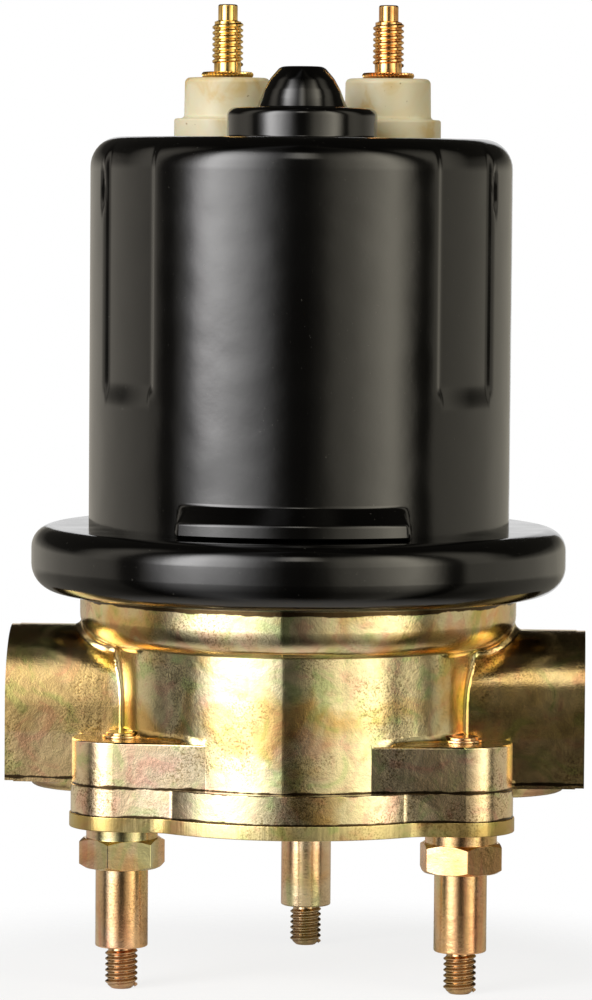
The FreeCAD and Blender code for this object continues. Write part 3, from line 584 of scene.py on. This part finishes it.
collar = [(12 * MM, collar_z), (collar_r, collar_z, collar_round), (collar_r, flange_z),
          (flange_r, flange_z, 2.8 * MM), (flange_r, flange_top_z, 0.5 * MM),
          (pilot_r, flange_top_z), (pilot_r, pilot_top_z, 0.5 * MM), (10 * MM, pilot_top_z)]
ring = lathe("collar", collar, steps=360)
press(ring, collar_seam_rise, lambda p: keel(p) if collar_z + 1 * MM < p.z < flange_z + TOUCH
      and math.hypot(p.x, p.y) > 28 * MM else 0)
carve(cast, ring, "UNION")
for side in (-1, 1):
    line = lathe("seam", [(p[0] + collar_seam_rise + 0.06 * MM,) + p[1:] if 0 < i < 3 else p
                          for i, p in enumerate(collar)], steps=360)
    carve(line, block("slice", seam_x - seam_half, seam_x + seam_half, side * 20 * MM,
                      side * 34 * MM, collar_z - 1 * MM, flange_z + 0.1 * MM), "INTERSECT")
    carve(cast, line, "UNION")
    carve(cast, block("seam", seam_x - seam_half, seam_x + seam_half, side * 20 * MM,
                      side * (neck_r + seam_rise + 0.04 * MM), base_top_z - 1 * MM,
                      collar_z + 1 * MM), "UNION")

open_z = body_z - 1 * MM
cell_r = 17.05 * MM
cell_roof_z = body_z + 11.6 * MM
seal_z = body_z + 18.9 * MM
bearing_top_z = seal_z + 17.5 * MM
recess_r = pilot_r - 2.7 * MM
recess = [(10 * MM, seal_z + 6.5 * MM), (recess_r, seal_z + 6.5 * MM),
          (recess_r, pilot_top_z + 1 * MM), (6 * MM, pilot_top_z + 1 * MM),
          (6 * MM, bearing_top_z), (10 * MM, bearing_top_z)]
groove = [(17.75 * MM, open_z), (19.4 * MM, open_z), (19.4 * MM, body_z + 1.1 * MM),
          (17.75 * MM, body_z + 1.1 * MM)]
cuts = [drill("cell", (0, 0, open_z), (0, 0, cell_roof_z), cell_r),
        drill("shaft_hole", (0, 0, cell_roof_z - 1 * MM), (0, 0, seal_z + 1 * MM), 3.6 * MM),
        drill("bearing_bore", (0, 0, seal_z), (0, 0, pilot_top_z + 1 * MM), 7.0 * MM),
        lathe("recess", recess, hollow=True), lathe("seal_groove", groove, hollow=True)]
for x, y in stud_spots:
    cuts.append(drill("stud_hole", (x, y, open_z), (x, y, ear_top_z + 1 * MM), 2.75 * MM))
relief_y = -22.3 * MM
relief_seat_z = body_z + 14.9 * MM
cuts.append(drill("relief_bore", (0, relief_y, open_z), (0, relief_y, relief_seat_z), 2.6 * MM))
cuts.append(drill("relief_seat", (0, relief_y, relief_seat_z - 1 * MM),
                  (0, relief_y, relief_seat_z + 3.4 * MM), 1.5 * MM))
port_r = 5.7 * MM
port_depth = 12.0 * MM
feed_x = 12 * MM
for side in (-1, 1):
    floor_x, mouth_x, turn_x = side * (port_reach - port_depth), side * port_reach, side * feed_x
    for name, start, end, r, end_r in (
            ("port_bore", floor_x, mouth_x + side * MM, port_r, None),
            ("port_chamfer", mouth_x - side * MM, mouth_x + side * 0.2 * MM, port_r,
             port_r + 1.2 * MM),
            ("passage", floor_x + side * MM, turn_x, 2.8 * MM, None)):
        cuts.append(drill(name, (start, 0, port_z), (end, 0, port_z), r, end_r))
    cuts.append(drill("feed", (turn_x, 0, cell_roof_z - 1 * MM), (turn_x, 0, port_z), 1.9 * MM))
for tool in cuts:
    carve(cast, tool)
smooth(cast, 40.0)


# Dark colour for the ragged lines at joints; along some of them it is painted shade or painted
# shadow.
joint_and_shade_dark = (0.07, 0.045, 0.02)
no_tint = (1.0, 1.0, 1.0)


def chromate(name, gold, cream, dirt, grain_stretch, roughness, shift=0.0, joints=(),
             line_depth=0.006 * MM, hue_stretch=(1, 1, 1), tarnish_z=None):
    """Yellow chromate on metal: gold and cream clouds, faint pink and green, fine speckle."""
    finish = Finish(name, gold, 0.3, 1.0)
    place = (shift, shift, shift)
    level = finish.axis("Z")
    clouds = finish.noise(10 * MM, 4.0, warp=0.5, shift=place)
    hues = finish.noise(5 * MM, 3.0, warp=1.0, shift=place, stretch=hue_stretch)
    flecks = finish.noise(0.3 * MM, 2.0, rough=0.7)
    scuffs = finish.noise(2.4 * MM, 5.0, rough=0.75, warp=0.3, shift=place)
    lines = finish.noise(1.2 * MM, 3.0, stretch=grain_stretch)
    away = finish.math("ABSOLUTE", finish.axis("X"))
    sideways = finish.spread(away, 16 * MM, 25 * MM, -0.04, 0.13)
    warmth = finish.math("ADD", clouds, sideways)
    base = finish.ramp(warmth, (0.46, cream), (0.62, gold))
    tint = finish.ramp(hues, (0.34, (1.0, 0.72, 0.78)), (0.44, (1.0, 0.95, 0.93)),
                       (0.54, (1.0, 0.98, 0.92)), (0.64, (0.72, 0.92, 0.66)))
    below = finish.spread(level, ear_top_z - 0.2 * MM, ear_top_z + 0.4 * MM, 0.6, 0.0)
    above = finish.math("GREATER_THAN", level, body_z)
    lug = finish.math("MULTIPLY", finish.spread(away, 11 * MM, 14 * MM),
                      finish.math("MULTIPLY", below, above))
    base = finish.mix(base, (0.95, 0.8, 0.6), lug)
    between = finish.spread(finish.math("ABSOLUTE", finish.axis("Y")), 12 * MM, 13 * MM, 1.0, 0.0)
    end = finish.math("MULTIPLY", finish.spread(away, 26 * MM, 29 * MM, 0.0, 0.75), between)
    base = finish.mix(base, (0.63, 0.46, 0.2), end)
    color = finish.mix(base, tint, 0.75, "MULTIPLY")
    sandy = finish.noise(9 * MM, 2.0, shift=(shift + 4 * MM, 0, 0))
    sandy = finish.ramp(sandy, (0.49, 0.0), (0.6, 1.0))
    speckle = finish.ramp(flecks, (0.38, (0.3, 0.25, 0.13)), (0.5, no_tint))
    color = finish.mix(color, speckle, finish.math("MULTIPLY", sandy, dirt * 1.5), "MULTIPLY")
    stains = finish.ramp(scuffs, (0.28, (0.4, 0.32, 0.16)), (0.42, no_tint))
    color = finish.mix(color, stains, dirt, "MULTIPLY")
    ragged = finish.math("SUBTRACT", level, finish.math("MULTIPLY", scuffs, 0.5 * MM))
    uneven = finish.math("MULTIPLY", finish.noise(5 * MM, 3.0, shift=place), 0.9 * MM)
    # Ragged dark lines at given heights: a dark joint where parts meet, or painted shade where a
    # corner or overhang would shade it.
    for joint_z, half_width in joints:
        gap = finish.math("ABSOLUTE", finish.math("SUBTRACT", ragged, joint_z - 0.25 * MM))
        gap = finish.math("SUBTRACT", gap, uneven)
        joint_dirt_and_shade = finish.spread(gap, half_width - 0.45 * MM, half_width - 0.3 * MM)
        color = finish.mix(joint_and_shade_dark, color, joint_dirt_and_shade)
    if tarnish_z is not None:
        tarnish = finish.spread(level, tarnish_z - 0.3 * MM, tarnish_z, 0.65, 0.0)
        color = finish.mix(color, (0.34, 0.22, 0.12), tarnish)
    finish.feed("Base Color", color)
    finish.feed("Roughness", finish.spread(scuffs, 0.3, 0.7, roughness[1], roughness[0]))
    finish.bump((clouds, 0.12 * MM), (scuffs, 0.03 * MM), (lines, line_depth), (flecks, 0.007 * MM))
    return finish.material


olive_cream = (0.84, 0.75, 0.46)
deep_gold = (0.76, 0.52, 0.2)
# Dark lines: the cover plate joint at the foot, painted shade along the base ring's top edge, and a
# painted shadow under the can's rim.
cast_finish = chromate("cast_chromate", deep_gold, olive_cream, 0.5, (1, 1, 1), (0.15, 0.24),
                       joints=((body_z, 0.22 * MM), (base_top_z, 0.12 * MM),
                               (rim_z - 0.1 * MM, 0.75 * MM)))
finish_piece(cast, "pump_body", "housing", cast_finish)


# Cover plate: sheet steel blanked to the body's lobed outline, with a sheared edge of
# fine upright grain, closing the pump cell from below. Same yellow chromate.
def copied(node, name):
    """A copy of a node's mesh with its loose corners merged."""
    form = frame["nodes"][node].copy()
    form.data = frame["nodes"][node].data.copy()
    form.name = name
    form.parent = None
    for key in list(form.keys()):
        del form[key]
    bpy.context.scene.collection.objects.link(form)
    with editing(form):
        bpy.ops.mesh.select_all(action="SELECT")
        bpy.ops.mesh.remove_doubles(threshold=2e-6)
        bpy.ops.mesh.dissolve_limited(angle_limit=math.radians(1.0))
        bpy.ops.mesh.normals_make_consistent(inside=False)
    return form


plate = copied("cover_plate", "cover_plate_blank")
apply_modifier(plate, "BEVEL", width=0.15 * MM, segments=2, limit_method="ANGLE",
               angle_limit=math.radians(50))
smooth(plate)
plate_finish = chromate("plate_chromate", (0.6, 0.44, 0.16), (0.7, 0.6, 0.3), 0.35,
                        (2, 2, 0.03), (0.28, 0.36), 3 * MM, line_depth=0.03 * MM)
finish_piece(plate, "cover_plate", "housing", plate_finish)


# Mounting studs: three turned steel studs. Each has a rolled thread at its tip, a smooth
# shoulder for a grommet, a hexagon and a collar, and runs up through the ear.
thread_pitch = 0.79375 * MM
thread_r = 2.38 * MM
thread_root_r = 2.0 * MM
shoulder_z = 6.2 * MM
hex_z = 17.9 * MM
stud_collar_z = 22.2 * MM
plate_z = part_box("cover_plate")[0].z
stud_top_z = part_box("mounting_studs")[1].z
shoulder_r = 3.85 * MM
stud_collar_r = 5.25 * MM
hex_flats = 11.1 * MM
hex_edge = 0.12 * MM
hex_turns = (16.0, 40.0, 3.0)


def hexagon(name, flats, low, high, turn, x, y):
    """A hexagon with the corners of both faces turned off."""
    corner_r = flats / math.sqrt(3)
    bpy.ops.object.select_all(action="DESELECT")
    bpy.ops.mesh.primitive_cylinder_add(vertices=6, radius=corner_r, depth=high - low,
                                        location=(x, y, (low + high) / 2),
                                        rotation=(0, 0, math.radians(turn - 90)))
    form = settle(name)
    apply_modifier(form, "BEVEL", width=hex_edge, segments=2)
    face_r = corner_r - 0.88 * MM
    wide_r = corner_r + 0.2 * MM
    rise = 0.68 * MM
    blank = [(face_r, low), (wide_r, low + rise), (wide_r, high - rise), (face_r, high)]
    carve(form, lathe("blank", blank, x, y, steps=96), "INTERSECT")
    return form


def close_ends(form, sides):
    """Merges a wound form's seams, fills its two ends and turns its faces outwards."""
    with editing(form):
        bpy.ops.mesh.select_all(action="SELECT")
        bpy.ops.mesh.remove_doubles(threshold=1e-7)
        bpy.ops.mesh.select_all(action="DESELECT")
        bpy.ops.mesh.select_non_manifold()
        bpy.ops.mesh.fill_holes(sides=sides)
        bpy.ops.mesh.select_all(action="SELECT")
        bpy.ops.mesh.normals_make_consistent(inside=False)


def thread(name, root_r, crest_r, low, high, x, y, crest=0.2):
    """A screw thread's ridge, wound up its core from a four-sided section."""
    turns = (high - low) / thread_pitch - 1
    middle_r = (root_r + crest_r) / 2
    deep = crest_r - root_r
    start_z = low + thread_pitch / 2
    bpy.ops.object.select_all(action="DESELECT")
    bpy.ops.mesh.primitive_plane_add(size=deep, location=(x + middle_r, y, start_z),
                                     rotation=(math.pi / 2, 0, 0))
    form = settle(name)
    bpy.context.scene.cursor.location = (x, y, 0)
    bpy.ops.object.origin_set(type="ORIGIN_CURSOR")
    bpy.context.scene.cursor.location = (0, 0, 0)
    with editing(form):
        for outer, width in ((False, 0.97), (True, crest)):
            pick(form, lambda p: (p.x > middle_r) == outer)
            bpy.ops.transform.resize(value=(1, 1, width * thread_pitch / deep),
                                     center_override=(x + middle_r, y, start_z))
        bpy.ops.mesh.select_all(action="SELECT")
        bpy.ops.mesh.delete(type="ONLY_FACE")
    whole = int(turns)
    apply_modifier(form, "SCREW", screw_offset=thread_pitch * turns / whole, iterations=whole,
                   steps=36, render_steps=36, use_normal_calculate=True)
    bpy.ops.object.transform_apply(location=True, rotation=True, scale=True)
    close_ends(form, 4)
    return form


outline = [(1.5 * MM, 0), (thread_root_r, 0.45 * MM), (thread_root_r, 5.4 * MM),
           (1.85 * MM, shoulder_z), (shoulder_r, shoulder_z, 0.25 * MM),
           (shoulder_r, hex_z + 1 * MM), (stud_collar_r, hex_z + 1 * MM),
           (stud_collar_r, plate_z - 0.1 * MM), (5.1 * MM, plate_z), (2.7 * MM, plate_z),
           (2.7 * MM, ear_top_z + 0.02 * MM), (2.95 * MM, ear_top_z + 0.04 * MM, 0.1 * MM),
           (2.9 * MM, ear_top_z + 0.4 * MM, 0.15 * MM), (2.4 * MM, ear_top_z + 0.42 * MM),
           (2.4 * MM, stud_top_z, 0.2 * MM), (0.3 * MM, stud_top_z)]
forms = []
for (x, y), turn in zip(stud_spots, hex_turns):
    forms.append(lathe("mounting_studs_turned", outline, x, y, steps=72))
    forms.append(hexagon("hexagon", hex_flats, hex_z, stud_collar_z, turn, x, y))
    forms.append(thread("thread", thread_root_r - 0.03 * MM, thread_r, 0.1 * MM, 5.9 * MM, x, y))
studs = joined("mounting_studs_turned", forms)
smooth(studs)
stud_finish = chromate("stud_chromate", (0.78, 0.49, 0.24), (0.8, 0.63, 0.42), 0.3,
                       (1, 1, 4), (0.16, 0.22), 2 * MM, hue_stretch=(1, 1, 0.2),
                       tarnish_z=shoulder_z)
finish_piece(studs, "mounting_studs", "housing", stud_finish)


# Terminals: brass through-studs with a rolled thread and a plain nose, each on a thin
# washer with a coarse slanted knurl, insulated from the can by an ivory nylon stand-off.
insulator_top_z = can_top_z + 9.1 * MM
washer_top_z = insulator_top_z + 0.9 * MM
terminal_thread_z = washer_top_z + 0.8 * MM
top_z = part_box("terminal_stud_left")[1].z
dog_z = top_z - 2.6 * MM
strap_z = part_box("terminal_strap_left")[0].z
head_z = strap_z - 2.4 * MM
dog_r = 1.475 * MM
washer_r = 3.95 * MM
washer_teeth = 38
knurl_depth = 0.7 * MM
insulator_foot_z = can_top_z + 2.95 * MM


def brass(name, color, shade):
    """Bright turned brass with fine tool marks round it and a little tarnish."""
    finish = Finish(name, color, 0.2, 1.0)
    cloud = finish.noise(2.2 * MM, 4.0)
    marks = finish.noise(0.35 * MM, 2.0, stretch=(0.3, 0.3, 3))
    finish.feed("Base Color", finish.ramp(cloud, (0.35, shade), (0.6, color)))
    finish.feed("Roughness", finish.spread(cloud, 0.3, 0.7, 0.24, 0.15))
    finish.bump((cloud, 0.02 * MM), (marks, 0.004 * MM))
    return finish.material


nylon = Finish("ivory_nylon", (0.6, 0.55, 0.4), 0.42)
nylon_cloud = nylon.noise(7 * MM, 4.0, warp=0.8, shift=(2 * MM, 0, 0))
nylon_fine = nylon.noise(0.8 * MM, 3.0)
nylon_color = nylon.ramp(nylon_cloud, (0.33, (0.58, 0.44, 0.2)), (0.45, (0.64, 0.57, 0.37)),
                         (0.65, (0.66, 0.61, 0.44)))
nylon_specks = nylon.ramp(nylon.noise(0.9 * MM, 1.0), (0.2, (0.35, 0.25, 0.12)), (0.25, no_tint))
nylon.feed("Base Color", nylon.mix(nylon_color, nylon_specks, 0.8, "MULTIPLY"))
nylon.set(Subsurface_Weight=0.2, Subsurface_Scale=0.0012)
nylon.bump((nylon_cloud, 0.08 * MM), (nylon_fine, 0.006 * MM))

terminal_finish = {"left": brass("terminal_brass_left", (0.85, 0.6, 0.22), (0.68, 0.42, 0.12)),
                   "right": brass("terminal_brass_right", (0.84, 0.52, 0.2), (0.64, 0.3, 0.1))}
for side, name in ((-1, "left"), (1, "right")):
    x, y = side * terminal_x, terminal_y
    outline = [(thread_r, strap_z - 1 * MM), (thread_r, washer_top_z), (2.05 * MM, washer_top_z),
               (2.05 * MM, terminal_thread_z + 0.4 * MM),
               (thread_root_r, terminal_thread_z + 0.6 * MM), (thread_root_r, dog_z),
               (dog_r, dog_z + 0.2 * MM), (dog_r, top_z, 0.3 * MM), (0.3 * MM, top_z)]
    forms = [lathe("terminal_stud_" + name + "_turned", outline, x, y, steps=64)]
    forms.append(hexagon("head", 8.0 * MM, head_z, strap_z, 0, x, y))
    forms.append(thread("thread", thread_root_r - 0.03 * MM, thread_r - 0.05 * MM,
                        terminal_thread_z - 0.1 * MM, dog_z - 0.05 * MM, x, y, crest=0.34))
    stud = joined("terminal_stud_" + name + "_turned", forms)
    smooth(stud)
    finish_piece(stud, "terminal_stud_" + name, "housing", terminal_finish[name])

    thick = washer_top_z - insulator_top_z
    hole_r = thread_r + 0.05 * MM
    edge = ((hole_r, 0), (2.8 * MM, 0), (3.2 * MM, 0), (washer_r - 0.3 * MM, 0.05),
            (washer_r - 0.08 * MM, 0.25), (washer_r, 0.5), (washer_r - 0.08 * MM, 0.75),
            (washer_r - 0.3 * MM, 0.95), (3.2 * MM, 1), (2.8 * MM, 1), (hole_r, 1))
    outline = [(r, insulator_top_z + share * thick) for r, share in edge]
    washer = lathe("terminal_washer_" + name + "_knurled", outline, x, y, steps=washer_teeth * 6,
                   hollow=True)

    def knurl(p):
        """The valleys between the washer's slanted teeth."""
        turn = math.atan2(p.y - y, p.x - x) / math.tau * washer_teeth
        turn += 0.7 * (p.z - insulator_top_z) / thick
        out = ease((math.hypot(p.x - x, p.y - y) - 2.9 * MM) / (0.6 * MM))
        return out * (0.5 + 0.5 * math.cos(math.tau * turn)) ** 1.5

    press(washer, -knurl_depth, knurl)
    smooth(washer, 60.0)
    finish_piece(washer, "terminal_washer_" + name, "housing",
                 terminal_finish[name])

    recess_z = can_top_z + 0.75 * MM
    outline = [(3.55 * MM, can_top_z), (3.85 * MM, can_top_z), (3.85 * MM, can_top_z + 1.0 * MM),
               (5.35 * MM, can_top_z + 1.0 * MM), (5.35 * MM, can_top_z), (8.0 * MM, can_top_z),
               (8.0 * MM, insulator_foot_z, 0.4 * MM), (6.5 * MM, insulator_foot_z, 0.6 * MM),
               (6.4 * MM, insulator_top_z, 0.8 * MM), (2.43 * MM, insulator_top_z),
               (2.43 * MM, recess_z), (3.55 * MM, recess_z)]
    insulator = lathe("terminal_insulator_" + name + "_moulded", outline, x, y, hollow=True)
    smooth(insulator)
    finish_piece(insulator, "terminal_insulator_" + name, "housing",
                 nylon.material)


# Inside pieces: the armature, the pump cell, magnets, brush gear and seals keep their
# engineering form and wear their own stock: ground or laminated steel, copper, bronze,
# ferrite, phenolic, carbon and rubber.
def stock(name, color, dark, roughness, metallic, size, relief, stretch=(1, 1, 1)):
    """A plain stock material with a little wear."""
    finish = Finish(name, color, roughness, metallic)
    cloud = finish.noise(size, 4.0, stretch=stretch)
    finish.feed("Base Color", finish.ramp(cloud, (0.35, dark), (0.65, color)))
    finish.feed("Roughness", finish.spread(cloud, 0.3, 0.7, roughness + 0.06, roughness - 0.04))
    finish.bump((cloud, relief))
    return finish.material


stocks = {
    "inner_steel": stock("ground_steel", (0.55, 0.55, 0.57), (0.42, 0.42, 0.44), 0.28, 1.0,
                         1.5 * MM, 0.01 * MM),
    "lamination_steel": stock("lamination_steel", (0.36, 0.37, 0.41), (0.2, 0.2, 0.22), 0.45, 1.0,
                              0.5 * MM, 0.04 * MM, (0.05, 0.05, 1)),
    "winding_copper": stock("winding_copper", (0.72, 0.33, 0.14), (0.45, 0.16, 0.06), 0.3, 1.0,
                            0.6 * MM, 0.08 * MM, (1, 1, 0.2)),
    "bar_copper": stock("bar_copper", (0.78, 0.44, 0.27), (0.6, 0.3, 0.17), 0.25, 1.0,
                        0.5 * MM, 0.01 * MM, (0.2, 0.2, 2)),
    "bronze": stock("sintered_bronze", (0.6, 0.42, 0.2), (0.42, 0.27, 0.12), 0.45, 1.0,
                    0.3 * MM, 0.02 * MM),
    "ferrite": stock("ferrite", (0.09, 0.09, 0.1), (0.06, 0.06, 0.065), 0.6, 0.0,
                     0.7 * MM, 0.03 * MM),
    "phenolic": stock("phenolic", (0.28, 0.14, 0.06), (0.18, 0.08, 0.03), 0.5, 0.0,
                      1.0 * MM, 0.02 * MM),
    "carbon": stock("carbon", (0.035, 0.035, 0.038), (0.02, 0.02, 0.022), 0.5, 0.0,
                    0.5 * MM, 0.01 * MM),
    "seal_rubber": stock("seal_rubber", (0.02, 0.02, 0.02), (0.012, 0.012, 0.012), 0.6, 0.0,
                         1.0 * MM, 0.02 * MM),
    "terminal_brass": terminal_finish["left"],
    "insulator_nylon": nylon.material,
}
for piece in frame["record"]["subparts"]:
    if piece["material_slot"] in stocks:
        form = frame["nodes"][piece["node"]]
        form.data.materials.clear()
        form.data.materials.append(stocks[piece["material_slot"]])


# Springs: round steel wire, coiled and ground flat. One pushes each carbon brush
# inwards, and one holds the relief valve's poppet on its seat.
def coil(name, outer_r, wire_r, length, turns, place, aim):
    """A coil of round wire from a place along a direction."""
    mean_r = outer_r - wire_r
    bpy.ops.object.select_all(action="DESELECT")
    bpy.ops.mesh.primitive_circle_add(vertices=8, radius=wire_r, location=(mean_r, 0, wire_r),
                                      rotation=(math.pi / 2, 0, 0))
    form = settle(name)
    bpy.ops.object.origin_set(type="ORIGIN_CURSOR")
    apply_modifier(form, "SCREW", screw_offset=(length - 2 * wire_r) / turns, iterations=turns,
                   steps=28, render_steps=28, use_normal_calculate=True)
    close_ends(form, 8)
    form.rotation_euler = aim
    form.location = place
    bpy.ops.object.transform_apply(location=True, rotation=True, scale=True)
    smooth(form, 60.0)
    return form


spring_wire_r = 0.25 * MM
for side, name in ((-1, "left"), (1, "right")):
    low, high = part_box("brush_spring_" + name)
    near = low.x if side > 0 else high.x
    spring = coil("brush_spring_" + name + "_coil", 2.0 * MM, spring_wire_r, high.x - low.x, 7,
                  (near, (low.y + high.y) / 2, (low.z + high.z) / 2), (0, side * math.pi / 2, 0))
    finish_piece(spring, "brush_spring_" + name, "housing", stocks["inner_steel"])
    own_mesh(spring)
low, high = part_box("relief_spring")
spring = coil("relief_spring_coil", 2.15 * MM, spring_wire_r, high.z - low.z, 6,
              ((low.x + high.x) / 2, (low.y + high.y) / 2, low.z), (0, 0, 0))
finish_piece(spring, "relief_spring", "housing", stocks["inner_steel"])
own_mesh(spring)


# The view: the photograph's camera, a little below the can's top and to its right, in a
# room with a tall soft panel on each side, a narrow light above and a white backdrop, and
# a small pale table whose edge fades out.
sensor_size = 36.0
focal_px = 4807.0
image_height_px = 1000.0
image_width_px = 592.0
camera_distance = 711 * MM
camera_height = 118.8 * MM
camera_bearing = math.radians(3.05)
camera_pitch = math.radians(3.854)
camera_roll = math.radians(0.46)
axis_x_px = 299.1
view = bpy.data.cameras.new("camera")
view.sensor_fit = "VERTICAL"
view.sensor_width = view.sensor_height = sensor_size
view.lens = sensor_size * focal_px / image_height_px
view.shift_x = -(axis_x_px - image_width_px / 2) / image_height_px
view.clip_start = 0.01
camera = bpy.data.objects.new("camera", view)
bpy.context.scene.collection.objects.link(camera)
camera.location = (camera_distance * math.sin(camera_bearing),
                   -camera_distance * math.cos(camera_bearing), camera_height)
camera.rotation_mode = "XYZ"
camera.rotation_euler = (math.pi / 2 - camera_pitch, 0, camera_bearing)
camera.rotation_euler.rotate_axis("Z", camera_roll)
bpy.context.scene.camera = camera

world = bpy.data.worlds.new("room")
bpy.context.scene.world = world
world.use_nodes = True
world.node_tree.nodes.clear()
room = Patterns(world.node_tree, "Generated")


def strip(value, levels):
    """The room's brightness round the horizon, by bearing in degrees."""
    return room.ramp(value, *[(0.5 + angle / 360, level / peak) for angle, level in levels])


def held(value):
    """A value kept between 0 and 1."""
    return room.math("MINIMUM", room.math("MAXIMUM", value, 0.0), 1.0)


turned = room.math("ARCTAN2", room.axis("X"), room.math("MULTIPLY", room.axis("Y"), -1.0))
bearing = room.math("MULTIPLY_ADD", turned, 0.5 / math.pi, 0.5)
height = room.math("MULTIPLY_ADD", room.axis("Z"), 0.5, 0.5)
peak = 7.0
horizon = ((-180, 0.4), (-139, 0.68), (-105, 0.66), (-91, 0.58), (-82, 0.42), (-77, 0.05),
           (-70, 0.04), (-63, 0.6), (-58, 1.15), (-50, 2.6), (-41, 3.45), (-33, 2.9), (-22, 1.5),
           (-10, 0.35), (-6, 0.12), (-2, 0.03), (7, 0.03), (14, 0.15), (19, 0.4), (23, 0.62),
           (31, 0.9), (43, 1.75), (52, 2.6), (56, 2.5), (63, 1.25), (67.5, 0.4), (70.5, 0.06),
           (76.5, 0.04), (81, 0.52), (90, 0.56), (135, 0.66), (180, 0.4))
left_panel = ((-64, 0), (-59, 0.6), (-55, 2.2), (-50, 3.6), (-46, 3.6), (-42, 2.8), (-34, 1.5),
              (-26, 0.9), (-19, 0.4), (-10, 0.0))
upper = held(room.math("MULTIPLY_ADD", height, 1 / 0.019, -0.4686 / 0.019))
lifted = room.math("MULTIPLY", strip(bearing, left_panel), upper)
around = room.math("ADD", strip(bearing, horizon), lifted)
warmth = room.ramp(bearing, (0.3, (1.0, 0.93, 0.8)), (0.33, (1.0, 0.985, 0.98)),
                   (0.46, (1.0, 0.985, 0.98)), (0.54, (1.0, 0.93, 0.76)))
front_rise = room.ramp(height, (0.0, 0.1), (0.2, 0.12), (0.33, 0.28), (0.4, 0.36), (0.425, 0.5),
                       (0.445, 0.77), (0.5, 0.8), (0.55, 1.0), (0.76, 1.0), (0.83, 0.85),
                       (0.89, 0.5), (0.93, 0.08), (0.96, 0.02), (1.0, 0.02))
rear_rise = room.ramp(height, (0.0, 0.1), (0.4, 0.4), (0.445, 0.77), (0.5, 0.8), (0.56, 0.3),
                      (0.62, 0.05), (1.0, 0.02))
from_front = room.math("ABSOLUTE", turned)
rear = held(room.math("MULTIPLY_ADD", from_front, 3.0, -4.8))
rise = room.math("ADD", room.math("MULTIPLY", rear_rise, rear),
                 room.math("MULTIPLY", front_rise, room.math("SUBTRACT", 1.0, rear)))
aside = room.math("ABSOLUTE", room.math("SUBTRACT", turned, math.radians(2.5)))
overhead = room.math("MAXIMUM", room.math("MULTIPLY_ADD", aside, -4.0, 1.0), 0.0)
overhead = room.math("MULTIPLY", overhead,
                     room.ramp(height, (0.76, 0.0), (0.8, 1.0), (0.9, 1.0), (0.925, 0.0)))
light = room.math("MULTIPLY_ADD", overhead, 0.26, room.math("MULTIPLY", around, rise))
lit = room.node("Background", ("Color", room.mix(light, warmth, 1.0, "MULTIPLY")),
                ("Strength", peak * 1.3))
white = room.node("Background", ("Color", (1.0, 1.0, 1.0)))
rays = room.node("LightPath").outputs
behind = room.math("GREATER_THAN", from_front, math.radians(171))
level_with = room.math("LESS_THAN", room.math("ABSOLUTE", room.axis("Z")), 0.3)
mirrored = room.math("ADD", rays["Is Glossy Ray"], rays["Is Transmission Ray"])
mirrored = room.math("MULTIPLY", mirrored, room.math("MULTIPLY", behind, level_with))
seen = room.math("MAXIMUM", rays["Is Camera Ray"], mirrored)
choice = room.node("MixShader", (0, seen), (1, lit.outputs[0]), (2, white.outputs[0]))
room.node("OutputWorld", (0, choice.outputs[0]))

table_r = 85 * MM
bpy.ops.object.select_all(action="DESELECT")
bpy.ops.mesh.primitive_circle_add(vertices=128, radius=table_r, fill_type="NGON")
table = settle("table")
paint = Finish("table_paint", (0.88, 0.88, 0.88), 0.9)
from_middle = paint.node("VectorMath", (0, paint.place), operation="LENGTH").outputs["Value"]
fade = paint.spread(from_middle, 42 * MM, 82 * MM, interpolation_type="SMOOTHSTEP")
rays = paint.node("LightPath").outputs
share = 0.0
for kind, amount in (("Is Camera Ray", 0.82), ("Is Glossy Ray", 0.05),
                     ("Is Transmission Ray", 0.05)):
    share = paint.math("MULTIPLY_ADD", rays[kind], amount, share)
pale = paint.node("MixShader", (0, share), (1, paint.shader.outputs[0]),
                  (2, paint.node("Emission").outputs[0]))
faded = paint.node("MixShader", (0, fade), (1, pale.outputs[0]),
                   (2, paint.node("BsdfTransparent").outputs[0]))
paint.tree.links.new(faded.outputs[0], paint.tree.nodes["Material Output"].inputs[0])
table.data.materials.append(paint.material)

bpy.context.scene.view_settings.view_transform = "Standard"
